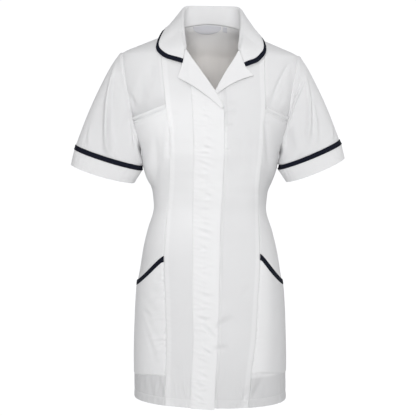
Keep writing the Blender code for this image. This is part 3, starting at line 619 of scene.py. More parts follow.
class Cloth:
    """A grid of points on the outer face of one piece, with the distance of each from the edges."""

    def __init__(self, grid, flip=False, ring=False):
        self.grid = np.array(grid)
        self.flip, self.ring = flip, ring
        self.layers = np.ones(self.grid.shape[:2])
        self.base = self.normals()
        self.left = run_lengths(self.grid, 1)
        self.right = self.left[:, -1:] - self.left
        self.foot = run_lengths(self.grid)
        self.top = self.foot[-1:] - self.foot

    def normals(self):
        """Unit directions out of the cloth's outer face."""
        if self.ring:
            across = np.roll(self.grid, -1, axis=1) - np.roll(self.grid, 1, axis=1)
        else:
            across = np.gradient(self.grid, axis=1)
        normal = unit(np.cross(across, np.gradient(self.grid, axis=0)))
        return -normal if self.flip else normal

    def raised(self, height):
        self.grid = self.grid + self.base * height[..., None]
        return self

    def groove(self, away, at, depth=0.0004, width=0.0011):
        """Presses in a line at a distance from an edge, as a row of stitches does."""
        return self.raised(-depth * np.exp(-(((away - at) / width) ** 2)))

    def seam(self, away, depth=0.0006, width=0.0016):
        """Rolls the edge in at a seam."""
        return self.raised(-depth * np.exp(-((away / width) ** 2)))

    def puckers(self, along, away, at, pitch, reach, height, seed=0.0):
        """Small waves along a row of stitches, of uneven length and height, that die out beside it."""
        phase = 2 * np.pi * along / pitch + 1.5 * np.sin(2 * np.pi * along / (pitch * 4.3) + seed)
        phase = phase + 0.9 * np.sin(2 * np.pi * along / (pitch * 2.7) + 2 * seed)
        strength = 0.6 + 0.4 * np.sin(2 * np.pi * along / (pitch * 6.1) + 3 * seed)
        beside = np.abs(away - at) / reach
        wave = np.sin(phase + 0.8 * np.sign(away - at) * beside)
        return self.raised(height * strength * wave * beside * np.exp(1 - beside))

    def dimples(self, along, beside, pitch, seed):
        """Short slanting dents at uneven steps along a row of stitches, on one side of it or the other."""
        chance = np.random.default_rng(seed)
        height = np.zeros_like(along)
        for k in range(int(along.max() / pitch)):
            place = (k + chance.uniform(0.2, 0.8)) * pitch
            shift, slant = chance.uniform(-0.004, 0.005), chance.uniform(-0.55, 0.35)
            depth, width = chance.uniform(0.0006, 0.0017), chance.uniform(0.0020, 0.0032)
            length = chance.uniform(0.0055, 0.0115)
            u, v = beside - shift, along - place
            across = (v - slant * u) / width
            near = np.exp(-((u / length) ** 2))
            height -= depth * near * (np.exp(-(across**2)) - 0.6 * np.exp(-((across - 2.2) ** 2)))
        return self.raised(height)

    def creased(self, rows):
        for row in rows:
            self.raised(-crease(self.grid[..., 0], self.grid[..., 2], row))
        return self

    def hemmed(self, height, seed, pitch=0.0105):
        """The stitched hem: a pressed line with small waves beside it, brighter below where doubled."""
        self.layers += HEM_TONE * soft_step(-self.foot, -HEM_STITCH, 0.001)
        self.groove(self.foot, HEM_STITCH)
        return self.puckers(self.left, self.foot, HEM_STITCH, pitch, 0.012, height, seed)

    def princess_seam(self, edge, height, seed, pitch=0.0095):
        """A puckered seam beside a centre panel, rolled in less above the waist."""
        self.seam(edge, 0.0006 - 0.00035 * soft_step(self.grid[..., 2], -0.36, 0.10))
        return self.puckers(self.foot, edge, 0.0, pitch, 0.0045, height, seed)


def leaned(points):
    points = np.array(points)
    points[..., 2] -= LEAN * points[..., 0]
    return points


def mesh_object(name, points, faces, material):
    mesh = bpy.data.meshes.new(name)
    mesh.from_pydata([tuple(p) for p in points], [], faces)
    mesh.materials.append(material)
    mesh.shade_smooth()
    made = bpy.data.objects.new(name, mesh)
    bpy.context.scene.collection.objects.link(made)
    return made


def shell(name, cloth, thickness, fabric, offset=-1):
    """A thin closed wall through a cloth's grid, which stands for the CAD node of the same name."""
    slot, material = fabric
    rows, columns = cloth.grid.shape[:2]
    count = columns if cloth.ring else columns - 1
    i, j = np.meshgrid(np.arange(rows - 1), np.arange(count), indexing="ij")
    k = (j + 1) % columns
    corners = [i * columns + j, i * columns + k, (i + 1) * columns + k, (i + 1) * columns + j]
    faces = np.stack(corners[::-1] if cloth.flip else corners, -1).reshape(-1, 4)
    made = mesh_object(f"{name}_cloth", leaned(cloth.grid).reshape(-1, 3), faces.tolist(), material)
    mesh = made.data
    girth = cloth.left[:, -1:] + np.linalg.norm(cloth.grid[:, :1] - cloth.grid[:, -1:], axis=2)
    u = np.concatenate([cloth.left, girth], axis=1)
    v = np.concatenate([cloth.foot, cloth.foot[:, :1]], axis=1)
    places = [(i, j), (i, j + 1), (i + 1, j + 1), (i + 1, j)]
    uv = np.stack([np.stack([u[p], v[p]], -1) for p in (places[::-1] if cloth.flip else places)], 2)
    mesh.uv_layers.new(name="cloth").data.foreach_set("uv", uv.reshape(-1).astype(np.float32))
    layers = mesh.attributes.new("layers", "FLOAT", "POINT")
    layers.data.foreach_set("value", cloth.layers.reshape(-1).astype(np.float32))
    wall = made.modifiers.new("wall", "SOLIDIFY")
    wall.thickness = thickness
    wall.offset = offset
    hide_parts(name)
    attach(made, "root")


def line_at(grid, away, at):
    """Points where each row's distance from an edge passes a value. Away grows along the columns."""
    points = []
    for row, distance in zip(grid, away):
        i = int(np.clip(np.searchsorted(distance, at), 1, len(distance) - 1))
        t = (at - distance[i - 1]) / max(distance[i] - distance[i - 1], 1e-9)
        points.append(row[i - 1] + (row[i] - row[i - 1]) * np.clip(t, 0, 1))
    return np.array(points)


def stitch_line(cloth, edge, at):
    """Points and outward directions of a row of stitches at a distance from one edge of a piece."""
    away = getattr(cloth, edge)
    grid, normal = cloth.grid, cloth.normals()
    if edge in ("foot", "top"):
        grid, normal, away = np.swapaxes(grid, 0, 1), np.swapaxes(normal, 0, 1), away.T
    if edge in ("right", "top"):
        grid, normal, away = grid[:, ::-1], normal[:, ::-1], away[:, ::-1]
    return line_at(grid, away, at), line_at(normal, away, at)


def stitches(name, lines, fabric):
    """One mesh of all the stitches of some rows: short spindles of thread, half sunk in the cloth."""
    slot, material = fabric
    parts = []
    for points, out in lines:
        run = run_lengths(points)
        first = np.arange(int(run[-1] / (STITCH + STITCH_GAP))) * (STITCH + STITCH_GAP)
        wanted = ((points, first), (points, first + STITCH), (out, first))
        parts.append([np.stack([np.interp(at, run, c) for c in what.T], -1) for what, at in wanted])
    start, end, out = (np.concatenate(part) for part in zip(*parts))
    along = end - start
    side = unit(np.cross(along, out))
    rings = [start]
    for share in (0.2, 0.8):
        middle = start + along * share + out * THREAD * 0.3
        rings += [middle + THREAD * way for way in (side, out, -side, -out)]
    points = np.stack([*rings, end], 1)
    faces = []
    for k in range(4):
        n = (k + 1) % 4
        faces += [(0, 1 + n, 1 + k), (9, 5 + k, 5 + n), (1 + k, 1 + n, 5 + n), (1 + k, 5 + n, 5 + k)]
    base = np.arange(len(start))[:, None, None] * 10
    all_faces = (base + np.array(faces)[None]).reshape(-1, 3)
    made = mesh_object(name, leaned(points).reshape(-1, 3), all_faces.tolist(), material)
    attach(made, "root")


# Materials


def fill(tree, node, inputs):
    """Links a node's inputs to the sockets given for them, and sets those given as values."""
    for key, value in inputs.items():
        if isinstance(value, bpy.types.NodeSocket):
            tree.links.new(value, node.inputs[key])
        else:
            node.inputs[key].default_value = value


def adder(tree):
    """A function that adds a node to a tree, with its inputs and settings."""

    def add(kind, inputs=None, **settings):
        made = tree.nodes.new(kind)
        for key, value in settings.items():
            setattr(made, key, value)
        fill(tree, made, inputs or {})
        return made

    return add


def ramp(add, value, low, high, to_low=0.0, to_high=1.0, **settings):
    spans = {"From Min": low, "From Max": high, "To Min": to_low, "To Max": to_high}
    return add("ShaderNodeMapRange", {"Value": value, **spans}, **settings).outputs["Result"]


def mix(add, share, first, second, **settings):
    inputs = {"Factor": share, "A": first, "B": second}
    return add("ShaderNodeMix", inputs, data_type="RGBA", **settings).outputs["Result"]


def inside_back(add):
    """1 on the inner face of the back below the collar, where light that came through the cloth is warm."""
    spot = add("ShaderNodeNewGeometry").outputs
    place = add("ShaderNodeSeparateXYZ", {"Vector": spot["Position"]}).outputs
    turned = add("ShaderNodeSeparateXYZ", {"Vector": spot["True Normal"]}).outputs
    share = ramp(add, turned["Y"], -0.2, -0.6)
    for value, none, full in ((place["Y"], 0.02, 0.05), (place["Z"], 0.02, -0.05)):
        both = {0: share, 1: ramp(add, value, none, full)}
        share = add("ShaderNodeMath", both, operation="MULTIPLY").outputs[0]
    return share


def cloth_material(name, single, double, roughness, weave, sheen):
    """Twill: fine diagonal ribs along the cloth's own directions, faint unevenness, and a brighter tone
    where more cloth lies doubled, which is painted shade of the inside seen through a single ply; the
    painted light and shade put into the same per-point tone come in here too, and a painted warm light on
    the inside of the back."""
    material = bpy.data.materials.new(name)
    material.use_nodes = True
    tree = material.node_tree
    add = adder(tree)
    uv = add("ShaderNodeUVMap", uv_map="cloth").outputs["UV"]
    place = add("ShaderNodeTexCoord").outputs["Object"]
    twill = {"Vector": uv, "Scale": weave, "Distortion": 0.6, "Detail": 1.0}
    ribs = add("ShaderNodeTexWave", twill, wave_type="BANDS", bands_direction="DIAGONAL").outputs["Fac"]
    slub = add("ShaderNodeTexNoise", {"Vector": place, "Scale": 900, "Detail": 2}).outputs["Fac"]
    cloud = add("ShaderNodeTexNoise", {"Vector": place, "Scale": 22, "Detail": 3}).outputs["Fac"]
    height = add("ShaderNodeMath", {0: ribs, 1: 0.6, 2: slub}, operation="MULTIPLY_ADD").outputs[0]
    bump = add("ShaderNodeBump", {"Strength": 0.35, "Distance": 0.00012, "Height": height})
    layers = add("ShaderNodeAttribute", attribute_name="layers").outputs["Fac"]
    tone = mix(add, ramp(add, layers, -1.0, 3.0, clamp=False), single, double, clamp_factor=False)
    varied = mix(add, 1.0, tone, ramp(add, cloud, 0, 1, 0.975, 1.015), blend_type="MULTIPLY")
    # The base colour carries the painted shading of the tone and the painted warm light inside the back
    looks = {
        "Base Color": mix(add, inside_back(add), varied, PAINTED_WARM_LIGHT, blend_type="MULTIPLY"),
        "Normal": bump.outputs["Normal"],
        "Roughness": ramp(add, slub, 0, 1, roughness - 0.06, roughness + 0.06),
        "Sheen Weight": sheen,
        "Specular IOR Level": 0.25,
    }
    fill(tree, tree.nodes["Principled BSDF"], looks)
    return material


# Each fabric is the slot it fills and its material
white, navy, woven, thread = ((row[0], cloth_material(name, *row[1:])) for name, row in FABRICS.items())


# Fronts, side panels and back


def band_rise(x, z):
    """How far the band stands off the left front: more where it passes over the left lapel."""
    across = np.clip((x - centre(z) + 0.030) / 0.030, 0, 1)
    down = np.clip((z + 0.205) / 0.055, 0, 1)
    return BAND_GAP + 0.0032 * (across * down) ** 2 * (3 - 2 * across) * (3 - 2 * down)


def painted_shading_at_waist(cloth):
    """1 from the chest down to the waist and 0 elsewhere: where painted light goes into the tone, and on the
    left side panel painted shade.
    """
    z = cloth.grid[..., 2]
    return soft_step(-z, 0.13, 0.10) * soft_step(z, -0.44, 0.16)


def under_bust(cloth):
    """1 just under the bust, where the cloth turns down and catches light from the floor."""
    return np.exp(-(((cloth.grid[..., 2] + 0.305) / 0.045) ** 2))


def band_edge(side):
    """The line down the body along one edge of the band."""
    return lambda z: centre(z) + LINES.at(f"band_{side}", z)


def make_right_front():
    lines = lambda z: princess(RIGHT, z) + SEAM_GAP / 2, lambda z: band_edge("left")(z) + BAND_OVER
    right = Cloth(panel(*lines, near_ends(18, 9, 0.16), ALL_LEVELS, FRONT, RIGHT))
    right.princess_seam(right.left, 0.00028, 0.4).hemmed(0.00125, 1.0)
    right.layers += EDGE_TONE * soft_step(-right.left, -0.011, 0.004)
    # Painted light: lighter from the chest down to the waist, and just under the bust
    right.layers += 1.7 * painted_shading_at_waist(right) + 0.5 * under_bust(right)
    shell("front_right", right, CLOTH, white)
    return right


def make_left_front():
    lines = lambda z: centre(z) + UNDERLAP, lambda z: princess(LEFT, z) - SEAM_GAP / 2
    left = Cloth(panel(*lines, near_ends(30, 9, 0.10), ALL_LEVELS, FRONT, LEFT))
    left.princess_seam(left.right, 0.00028, 1.9, 0.0100).hemmed(0.00095, 2.0)
    x, z = left.grid[..., 0], left.grid[..., 2]
    facing = 0.0415 - 0.010 * soft_step(-z, 0.22, 0.16)
    # Painted light just under the bust, and painted shade darker towards the hem
    left.layers += 2.0 * under_bust(left) - 1.2 * soft_step(-z, 0.70, 0.20)
    left.layers += 1.8 * soft_step(facing - left.left, 0, 0.004)
    left.layers += EDGE_TONE * soft_step(-left.right, -0.011, 0.004)
    left.groove(x - band_edge("right")(z), 0.0012, 0.0030, 0.0020)
    shell("front_left", left, CLOTH, white)
    return left


def make_band():
    shares = near_ends(22, 6, 0.08)
    levels = np.concatenate([LOWER, 1 + np.linspace(0, 1, 70)[1:]])
    lines = band_edge("left"), band_edge("right")
    low = HEM_Z - FRONT_HEM_DROP - 0.0006 - 0.0024 * shares
    band = Cloth(panel(*lines, shares, levels, FRONT, RIGHT, lambda x, z: band_rise(x, z) + DOUBLE, low))
    middle = 0.42 * (band.left + band.right)
    band.seam(band.left, 0.0010, 0.0016).groove(band.left, middle, 0.00035, 0.0015)
    band.puckers(band.foot, band.left, middle, 0.0125, 0.0065, 0.00040, 0.7)
    band.puckers(band.foot, band.left, 0.0, 0.0090, 0.0060, 0.00045, 2.6)
    band.dimples(band.foot, band.left - middle, 0.0150, 5)
    band.creased(BAND_CREASES).groove(band.foot, HEM_STITCH, 0.0003)
    # The band is doubled cloth, and painted light just under the bust is added on top
    band.layers += 1.7 + 2.0 * under_bust(band)
    shell("front_band", band, DOUBLE, white)
    return band


def side_panel(hand, levels, lift=lambda x, z: 0.0 * x):
    """Points of a panel from the princess seam out to the side seam and the armhole."""
    lines = lambda z: princess(hand, z) + hand * SEAM_GAP / 2, lambda z: body_edge(hand, z)
    return panel(*lines, SIDE_SHARES, tilted(levels, SIDE_SHARES, hand), FRONT, hand, lift)


def make_side(hand):
    """The side front, which stops at the chest pocket's mouth."""
    side = Cloth(side_panel(hand, np.concatenate([LOWER, MIDDLE[1:]])), hand == RIGHT)
    side.princess_seam(side.left, 0.00030, 2.4 + hand).seam(side.right, 0.0005).hemmed(0.00125, 3.0 + hand)
    side.raised(0.0014 * soft_step(-side.top, -MOUTH_STITCH, 0.0022))
    side.groove(side.top, MOUTH_STITCH, MOUTH_GROOVE[hand], 0.0016).groove(side.top, 0.0150, 0.0014, 0.0032)
    side.puckers(side.left, side.top, MOUTH_STITCH, 0.013, 0.005, 0.00030, 1.0)
    side.layers += 0.5 * soft_step(-side.top, -MOUTH_STITCH, 0.001)
    side.layers += 0.4 * soft_step(side.top, 0.004, 0.01) * soft_step(-side.top, -0.125, 0.02)
    # Painted light and shade: the right side panel lighter at the waist and the left darker, and both darker
    # below the hip pocket down to the hem
    side.layers += SIDE_PAINTED_SHADING[hand] * painted_shading_at_waist(side)
    side.layers += BELOW_POCKET_PAINTED_SHADE[hand] * soft_step(-side.foot, -0.062, 0.004)
    shell(f"side_front_{NAMES[hand]}", side, CLOTH, white)
    return side


def make_yoke(hand):
    """The upper side front, which runs down behind the mouth of the chest pocket."""
    tuck = np.concatenate([np.linspace(-CHEST_TUCK, 0, 12, endpoint=False), [0.0, 0.01, 0.02]])
    levels = np.concatenate([MOUTH_LEVEL + tuck, UPPER[UPPER > MOUTH_LEVEL + 0.025]])
    drop = CLOTH + YOKE_GAP[hand] * (1 - 0.85 * SIDE_SHARES**12)
    grid = side_panel(hand, levels)
    inner = side_panel(hand, levels, lambda x, z: 0.0 * x - drop)
    behind = 1 - soft_step(levels, MOUTH_LEVEL + 0.060, 0.11)[:, None, None]
    yoke = Cloth(grid + (inner - grid) * behind, hand == RIGHT)
    yoke.princess_seam(yoke.left, 0.00028, 0.8 + hand, 0.0100)
    yoke.seam(yoke.right, 0.0011, 0.0050).seam(yoke.top, 0.0005)
    yoke.layers += 0.4 * soft_step(-yoke.left, -0.006, 0.003)
    shell(f"yoke_front_{NAMES[hand]}", yoke, CLOTH, white)


def make_back():
    half = np.sin(np.radians(np.concatenate([np.linspace(0, 80, 50)[1:], np.linspace(80, 90, 14)[1:]])))
    shares = np.concatenate([-half[::-1], [0.0], half])
    levels = np.concatenate([near_ends(125, 16, 0.036, end=False)[:-1], ARMHOLE_LEVELS[::2]])
    back = Cloth(panel(lambda z: 0.0 * z, lambda z: body_edge(LEFT, z), shares, levels, BACK), True)
    back.seam(back.left, 0.0005).seam(back.right, 0.0005).hemmed(0.00055, 0.3, 0.0125)
    # Painted light: the back is lighter near the top, where its inside shows through the neck opening
    back.layers += 2.0 * soft_step(back.grid[..., 2], -0.075, 0.09)
    shell("back", back, CLOTH, white)
    return back


def make_hip_pocket(hand):
    """A pocket laid on the side front, with its slanting mouth bound in navy and gaping at the side."""
    name = NAMES[hand]
    shares = SIDE_SHARES * 0.997
    mouth_z, fall, foot_z = HIP_POCKETS[hand]
    mouth = mouth_z - fall * shares**1.3
    flip = hand == RIGHT

    def rows(low, high, steps):
        z = low + (high - low) * steps[:, None]
        x = princess(hand, z) + hand * SEAM_GAP
        x = x + (body_edge(hand, z) - x) * shares
        near_mouth = np.clip(1 - (mouth - z) / 0.07, 0, 1)
        lift = POCKET_GAPE * near_mouth**2 * np.clip(shares, 0, 1) ** 3
        return skin(x, z, FRONT, lift + POCKET_GAP + CLOTH)

    trim_foot = mouth - TRIM_WIDTH * (1.2 + TRIM_SWELL[hand] * shares * (1 - shares))
    foot = foot_z - FOOT_FALL * shares**2
    bag = Cloth(rows(foot, trim_foot - SEAM_GAP, near_ends(90, 8, 0.03)), flip)
    bag.creased(POCKET_CREASES[hand]).seam(bag.foot, 0.0015, 0.0016).seam(bag.left, 0.0019, 0.0034)
    bag.puckers(bag.foot, bag.left, 0.0, 0.0165, 0.0085, POCKET_PUCKER[hand], 0.9)
    bag.puckers(bag.left, bag.foot, 0.0, 0.0120, 0.0060, 0.00025, 1.6)
    # The pocket doubles the cloth; on the left pocket, painted shade darkens it towards the side seam
    bag.layers += 1.2 - POCKET_SHADE[hand] * soft_step(bag.left, 0.032, 0.040)
    shell(f"hip_pocket_{name}", bag, CLOTH, white)
    binding = Cloth(rows(trim_foot, mouth, np.linspace(0, 1, 11)), flip)
    binding.raised(0.0005 - 0.0009 * np.exp(-((binding.top / 0.0011) ** 2)))
    binding.groove(binding.foot, 0.0013, 0.0003, 0.0008)
    shell(f"hip_trim_{name}", binding, TRIM, navy)
    return bag


# Sleeves


def loop(row, angles):
    """An oval loop of a sleeve, by angle from its outer edge round the front."""
    x, z, half_width, tilt, half_depth, dip = row
    tilt = np.radians(tilt)
    across = half_width * np.cos(angles)
    front = np.sin(angles)
    out, up = across * np.cos(tilt), across * np.sin(tilt)
    return np.stack([x + out, SLEEVE_Y - half_depth * front, z + up - dip * front], -1)


def armhole_loop(hand):
    """The armhole edge of the body, from the shoulder tip down the front and up the back."""
    z = UNDERARM_Z + (TIP_Z - UNDERARM_Z) * (ARMHOLE_LEVELS - 1)
    front_z = UNDERARM_Z + (TIP_Z - UNDERARM_Z) * (tilted(ARMHOLE_LEVELS, [1], hand)[:, 0] - 1)
    front = skin(ARMHOLE.at("x", front_z), front_z, FRONT)[::-1]
    back = skin(ARMHOLE.at("x", z), z, BACK)
    lengths = run_lengths(front)
    half_turn = np.pi * lengths / lengths[-1]
    angles = np.concatenate([half_turn, 2 * np.pi - half_turn[::-1][1:-1]])
    share_up = np.concatenate([(ARMHOLE_LEVELS - 1)[::-1], (ARMHOLE_LEVELS - 1)[1:-1]])
    return np.concatenate([front, back[1:-1]]), angles, share_up


def sleeve_grid(hand, shares):
    """Rings from the armhole, at share 0, to the top of the trim, at share 1."""
    start, angles, share_up = armhole_loop(hand)
    end = loop(SLEEVES[hand][0], angles)
    slope = np.radians(74 - (74 - SHOULDER_SLOPE[hand]) * share_up**0.8)
    leave = np.stack([np.cos(slope), 0 * slope, -np.sin(slope)], -1)
    first, last = SLEEVES[hand][0], SLEEVES[hand][2]
    arm = unit(np.array([last[0] - first[0], 0, last[1] - first[1]]))
    reach = np.linalg.norm(end - start, axis=1, keepdims=True)
    start = start + leave * SEAM_GAP + np.array([0.0012, 0, 0]) * (1 - share_up[:, None]) ** 2
    pull = 0.35 * reach + 0.30 * reach * (1 - share_up[:, None])
    t = np.asarray(shares)[:, None, None]
    grid = (
        (1 + 2 * t) * (1 - t) ** 2 * start
        + t * (1 - t) ** 2 * leave * pull
        + t**2 * (3 - 2 * t) * end
        + t**2 * (t - 1) * arm * reach
    )
    normal = Cloth(grid, ring=True).base
    degrees = np.degrees(angles)[None, :]
    t = t[..., 0]
    depth = 0.0004 * np.sin(0.09 * degrees + 5 * t) * np.sin(7 * t + 1)
    for a0, s0, a1, s1, bow, width, fold, lean in SLEEVE_FOLDS[hand]:
        depth = depth + trough(degrees, t, a0, s0, a1, s1, bow, width, fold, lean, 150)
    ends = np.clip(t * 8, 0, 1) * np.clip((1 - t) * 9, 0, 1)
    grid = grid + normal * (depth * ends)[..., None]
    under = 0.0016 + 0.0013 * share_up[:, None]
    allowance = grid[:1] - leave * 0.0045 - normal[:1] * under
    return np.concatenate([allowance, grid]), angles


def mirrored(grid, hand):
    return grid * np.array([hand, 1, 1])


def make_sleeve(hand):
    name = NAMES[hand]
    trim_top, trim_foot, cuff_hem = SLEEVES[hand]
    grid, angles = sleeve_grid(hand, near_ends(76, 8, 0.04))
    flip = hand == LEFT
    sleeve = Cloth(mirrored(grid, hand), flip, True)
    from_seam = np.abs(sleeve.foot - 0.0047)
    sleeve.seam(from_seam, 0.0012, 0.0050).seam(np.abs(from_seam - 0.0040), 0.0008, 0.0060)
    sleeve.puckers(sleeve.left, np.clip(sleeve.foot - 0.0047, 0, None), 0.0, 0.012, 0.006, 0.00035, 0.5)
    sleeve.puckers(sleeve.left, sleeve.top, 0.0, 0.011, 0.006, 0.00030, 1.5)
    shell(f"sleeve_{name}", sleeve, CLOTH, white)

    def band(top, foot, start, end, count, swell):
        t = np.linspace(start, end, count)[:, None, None]
        rows = loop(top, angles) * (1 - t) + loop(foot, angles) * t
        return mirrored(rows + unit(rows - rows.mean(axis=1, keepdims=True)) * swell, hand)

    trim = Cloth(band(trim_top, trim_foot, TRIM_GAP / 0.0098, 1, 11, 0.0005), flip, True)
    trim.seam(trim.foot, 0.0006, 0.0012).seam(trim.top, 0.0006, 0.0012)
    shell(f"sleeve_trim_{name}", trim, TRIM, navy)
    cuff = Cloth(band(trim_foot, cuff_hem, SEAM_GAP / 0.032, 1, 34, 0.0), flip, True)
    cuff.groove(cuff.top, CUFF_STITCH, 0.0003)
    cuff.puckers(cuff.left, cuff.foot, 0.0, 0.014, 0.008, 0.00035, 2.1 + hand)
    cuff.puckers(cuff.left, cuff.top, CUFF_STITCH, 0.015, 0.006, 0.00025, 0.7)
    cuff.seam(cuff.top, 0.0005, 0.0012)
    cuff.layers += 0.8
    shell(f"cuff_{name}", cuff, DOUBLE, white)
    return cuff


# Lapels and collar

# The lip that turns round the front edge, as distance in from the edge and height off the cloth.
LIP = Table(
    "step inward height",
    (0, -1.2, -1),
    (1, -1.5, -0.4),
    (2, -1.7, 0.2),
    (3, -1.8, 0.9),
    (4, -1.3, 1.6),
    (5, -0.4, 2),
    (6, 1, 2.1),
)
LIP_STEPS = np.linspace(0, 6, 25)
FALL_SHARES = near_ends(22, 8, 0.10)[1:]


def front_cover(hand, x, z):
    """Height of the top of what already lies on the front panel: the band, on the right front."""
    if hand == LEFT:
        return 0.0 * x
    on_band = np.clip((x - centre(z) - LINES.at("band_left", z) + 0.012) / 0.010, 0, 1)
    return (band_rise(x, z) + DOUBLE) * on_band


def lapel_section(hand, reach, outer, rise):
    """Points from the inside of the fold, round it and out to the lapel's edge."""
    fold = np.array([reach, float(NECK.at("z", reach))])
    inward = neck_normal(reach)
    lip = fold - inward * LIP.at("inward", LIP_STEPS)[:, None]
    rest = np.array(outer) - lip[-1]
    fall = lip[-1] + rest * FALL_SHARES[:, None]
    rise = rise * min(1.0, np.hypot(*rest) / 0.03)
    top = float(LIP.at("height", 6.0))
    lifts = np.concatenate([LIP.at("height", LIP_STEPS), top + rise * FALL_SHARES**1.5])
    x, z = on_front(hand, *np.concatenate([lip, fall]).T)
    return skin(x, z, FRONT, lifts + front_cover(hand, x, z))


def neck_normal(reach):
    """Unit direction, as reach and z, from the edge of the front towards the opening of the neck."""
    slope = float(NECK.at("z", reach + 0.002) - NECK.at("z", reach - 0.002)) / 0.004
    return np.array([-slope, 1.0]) / np.hypot(slope, 1)


def on_front(hand, reach, z):
    return centre(z) + hand * reach, z


def lapel_grid(hand, shares):
    """Sections from the seam with the collar down to where the front edge starts to fold back."""
    break_reach = BREAK[hand]
    notch, point = np.array(NOTCH[hand]), np.array(LAPEL_POINT[hand])
    foot = np.array([break_reach, float(NECK.at("z", break_reach)) - 0.002])
    sections = []
    for share in shares:
        reach = GORGE_REACH + (break_reach - GORGE_REACH) * share
        if share < LAPEL_CORNER:
            edge = notch + (point - notch) * share / LAPEL_CORNER
        else:
            t = (share - LAPEL_CORNER) / (1 - LAPEL_CORNER)
            edge = point + (foot - point) * t + np.array([0.0, 0.006]) * np.sin(np.pi * t)
        sections.append(lapel_section(hand, reach, edge, LAPEL_RISE))
    return np.array(sections)


def neckline_edge(hand, seam):
    """A point of the neckline, the way up out of it within the cloth, and the way out of the body."""

    def place(at):
        if at <= 1:
            x = hand * NECK_HALF * at
            return skin(np.float64(x), back_neck(x * 0.9999), BACK)
        reach = NECK_HALF + (GORGE_REACH + COLLAR_LAPEL_GAP - NECK_HALF) * (at - 1)
        x, z = on_front(hand, reach, float(NECK.at("z", reach)))
        return skin(np.float64(x), np.float64(z), FRONT)

    near = 0.03
    tangent = place(min(seam + near, 2)) - place(max(seam - near, -1))
    point = place(seam)
    normal = outward(point)[0]
    up = np.cross(normal, tangent)
    return point, unit(up) * np.sign(up[2]), normal


def clear_of_body(points, margins):
    """Moves out what is nearer to the body's form than its margin."""
    for _ in range(3):
        direction, distance = outward(points)
        below_neck = np.clip((0.020 - points[..., 2]) / 0.010, 0, 1)
        short = np.clip(margins - distance, 0, None) * below_neck
        points = points + direction * short[..., None]
    return points


def wrapped(hand, turn, z, lift):
    """A point at an angle round the body from the front, at height z, off its surface by lift."""
    turn = np.radians(turn)
    power = 2 / BODY.at("squareness", z)
    x = hand * BODY.at("half_width", z) * np.sin(turn) ** power
    depth = BODY.at("front_depth" if np.cos(turn) > 0 else "back_depth", z)
    y = BODY.at("seam_y", z) - np.sign(np.cos(turn)) * depth * np.abs(np.cos(turn)) ** power
    point = np.array([x, y, z])
    return point + outward(point)[0] * lift


def collar_section(hand, row):
    """Points from the neck seam up the stand, over the roll and down the fall to the outer edge."""
    seam, x, y, z, turn, edge_z, lift = [float(COLLAR.at(name, row)) for name in COLLAR.columns]
    if hand == LEFT:
        turn += float(COLLAR_TWIST.at("turn", row))
        edge_z -= float(COLLAR_TWIST.at("down", row))
        lift += float(COLLAR_TWIST.at("lift", row))
    roll = np.array([COLLAR_X + hand * x, y, z])
    edge = wrapped(hand, turn, edge_z, lift)
    foot, up, normal = neckline_edge(hand, seam)
    foot = foot + up * SEAM_CLEAR - normal * CLOTH / 2
    out = edge - roll
    out = np.array([out[0], out[1], 0]) / np.hypot(out[0], out[1])
    rise = np.array([0, 0, 1.0])
    heart = roll - rise * ROLL_RADIUS
    back_of_roll = heart - out * ROLL_RADIUS
    up_stand = LIP_STEPS[LIP_STEPS < 3]
    stand = foot + (back_of_roll - foot) * np.interp(up_stand, (0, 1, 2, 3), (0, 0.4, 0.75, 1))[:, None]
    turns = np.interp(LIP_STEPS[LIP_STEPS >= 3], (3, 4, 5, 6), (180, 130, 80, 30))
    angle = np.radians(turns)[:, None]
    over = heart + ROLL_RADIUS * (out * np.cos(angle) + rise * np.sin(angle))
    start = over[-1]
    bulge = np.array([out[0], out[1], 0.9]) * 0.16 * np.linalg.norm(edge - start)
    t = FALL_SHARES[:, None]
    fall = start + (edge - start) * t + bulge * t * (1 - t)
    points = np.concatenate([stand, over, fall])
    over_margin = np.interp(turns, (30, 80, 100), (0.0024, 0.0004, -0.01))
    margins = np.concatenate([np.full(len(stand), -1.0), over_margin, np.full(len(fall), lift)])
    return clear_of_body(points, margins)


def collar_grid():
    """Sections from the right lapel, round the back of the neck, to the left lapel."""
    halves = {}
    for hand in (RIGHT, LEFT):
        end = NOTCH[hand][0] + COLLAR_LAPEL_GAP, NOTCH[hand][1] + 0.0003
        gorge = lapel_section(hand, GORGE_REACH + COLLAR_LAPEL_GAP, end, LAPEL_RISE)
        sections = [collar_section(hand, row) for row in np.linspace(0, 8, 73)]
        last = sections[-1]
        halves[hand] = sections + [last + (gorge - last) * t for t in np.linspace(0, 1, 9)[1:]]
    return evened(np.array([*halves[RIGHT][::-1], *halves[LEFT][1:]]))


def evened(grid):
    """Rounds off corners along the collar's outer edge, less towards the roll and at the two ends."""
    ends = np.minimum(np.arange(len(grid)), np.arange(len(grid))[::-1])
    near_edge = np.concatenate([0 * LIP_STEPS, FALL_SHARES])
    weight = np.clip((ends - 9) / 8, 0, 1)[:, None] * near_edge
    soft = grid
    for _ in range(14):
        soft = np.concatenate([soft[:1], (soft[:-2] + 2 * soft[1:-1] + soft[2:]) / 4, soft[-1:]])
    return grid + (soft - grid) * weight[..., None]


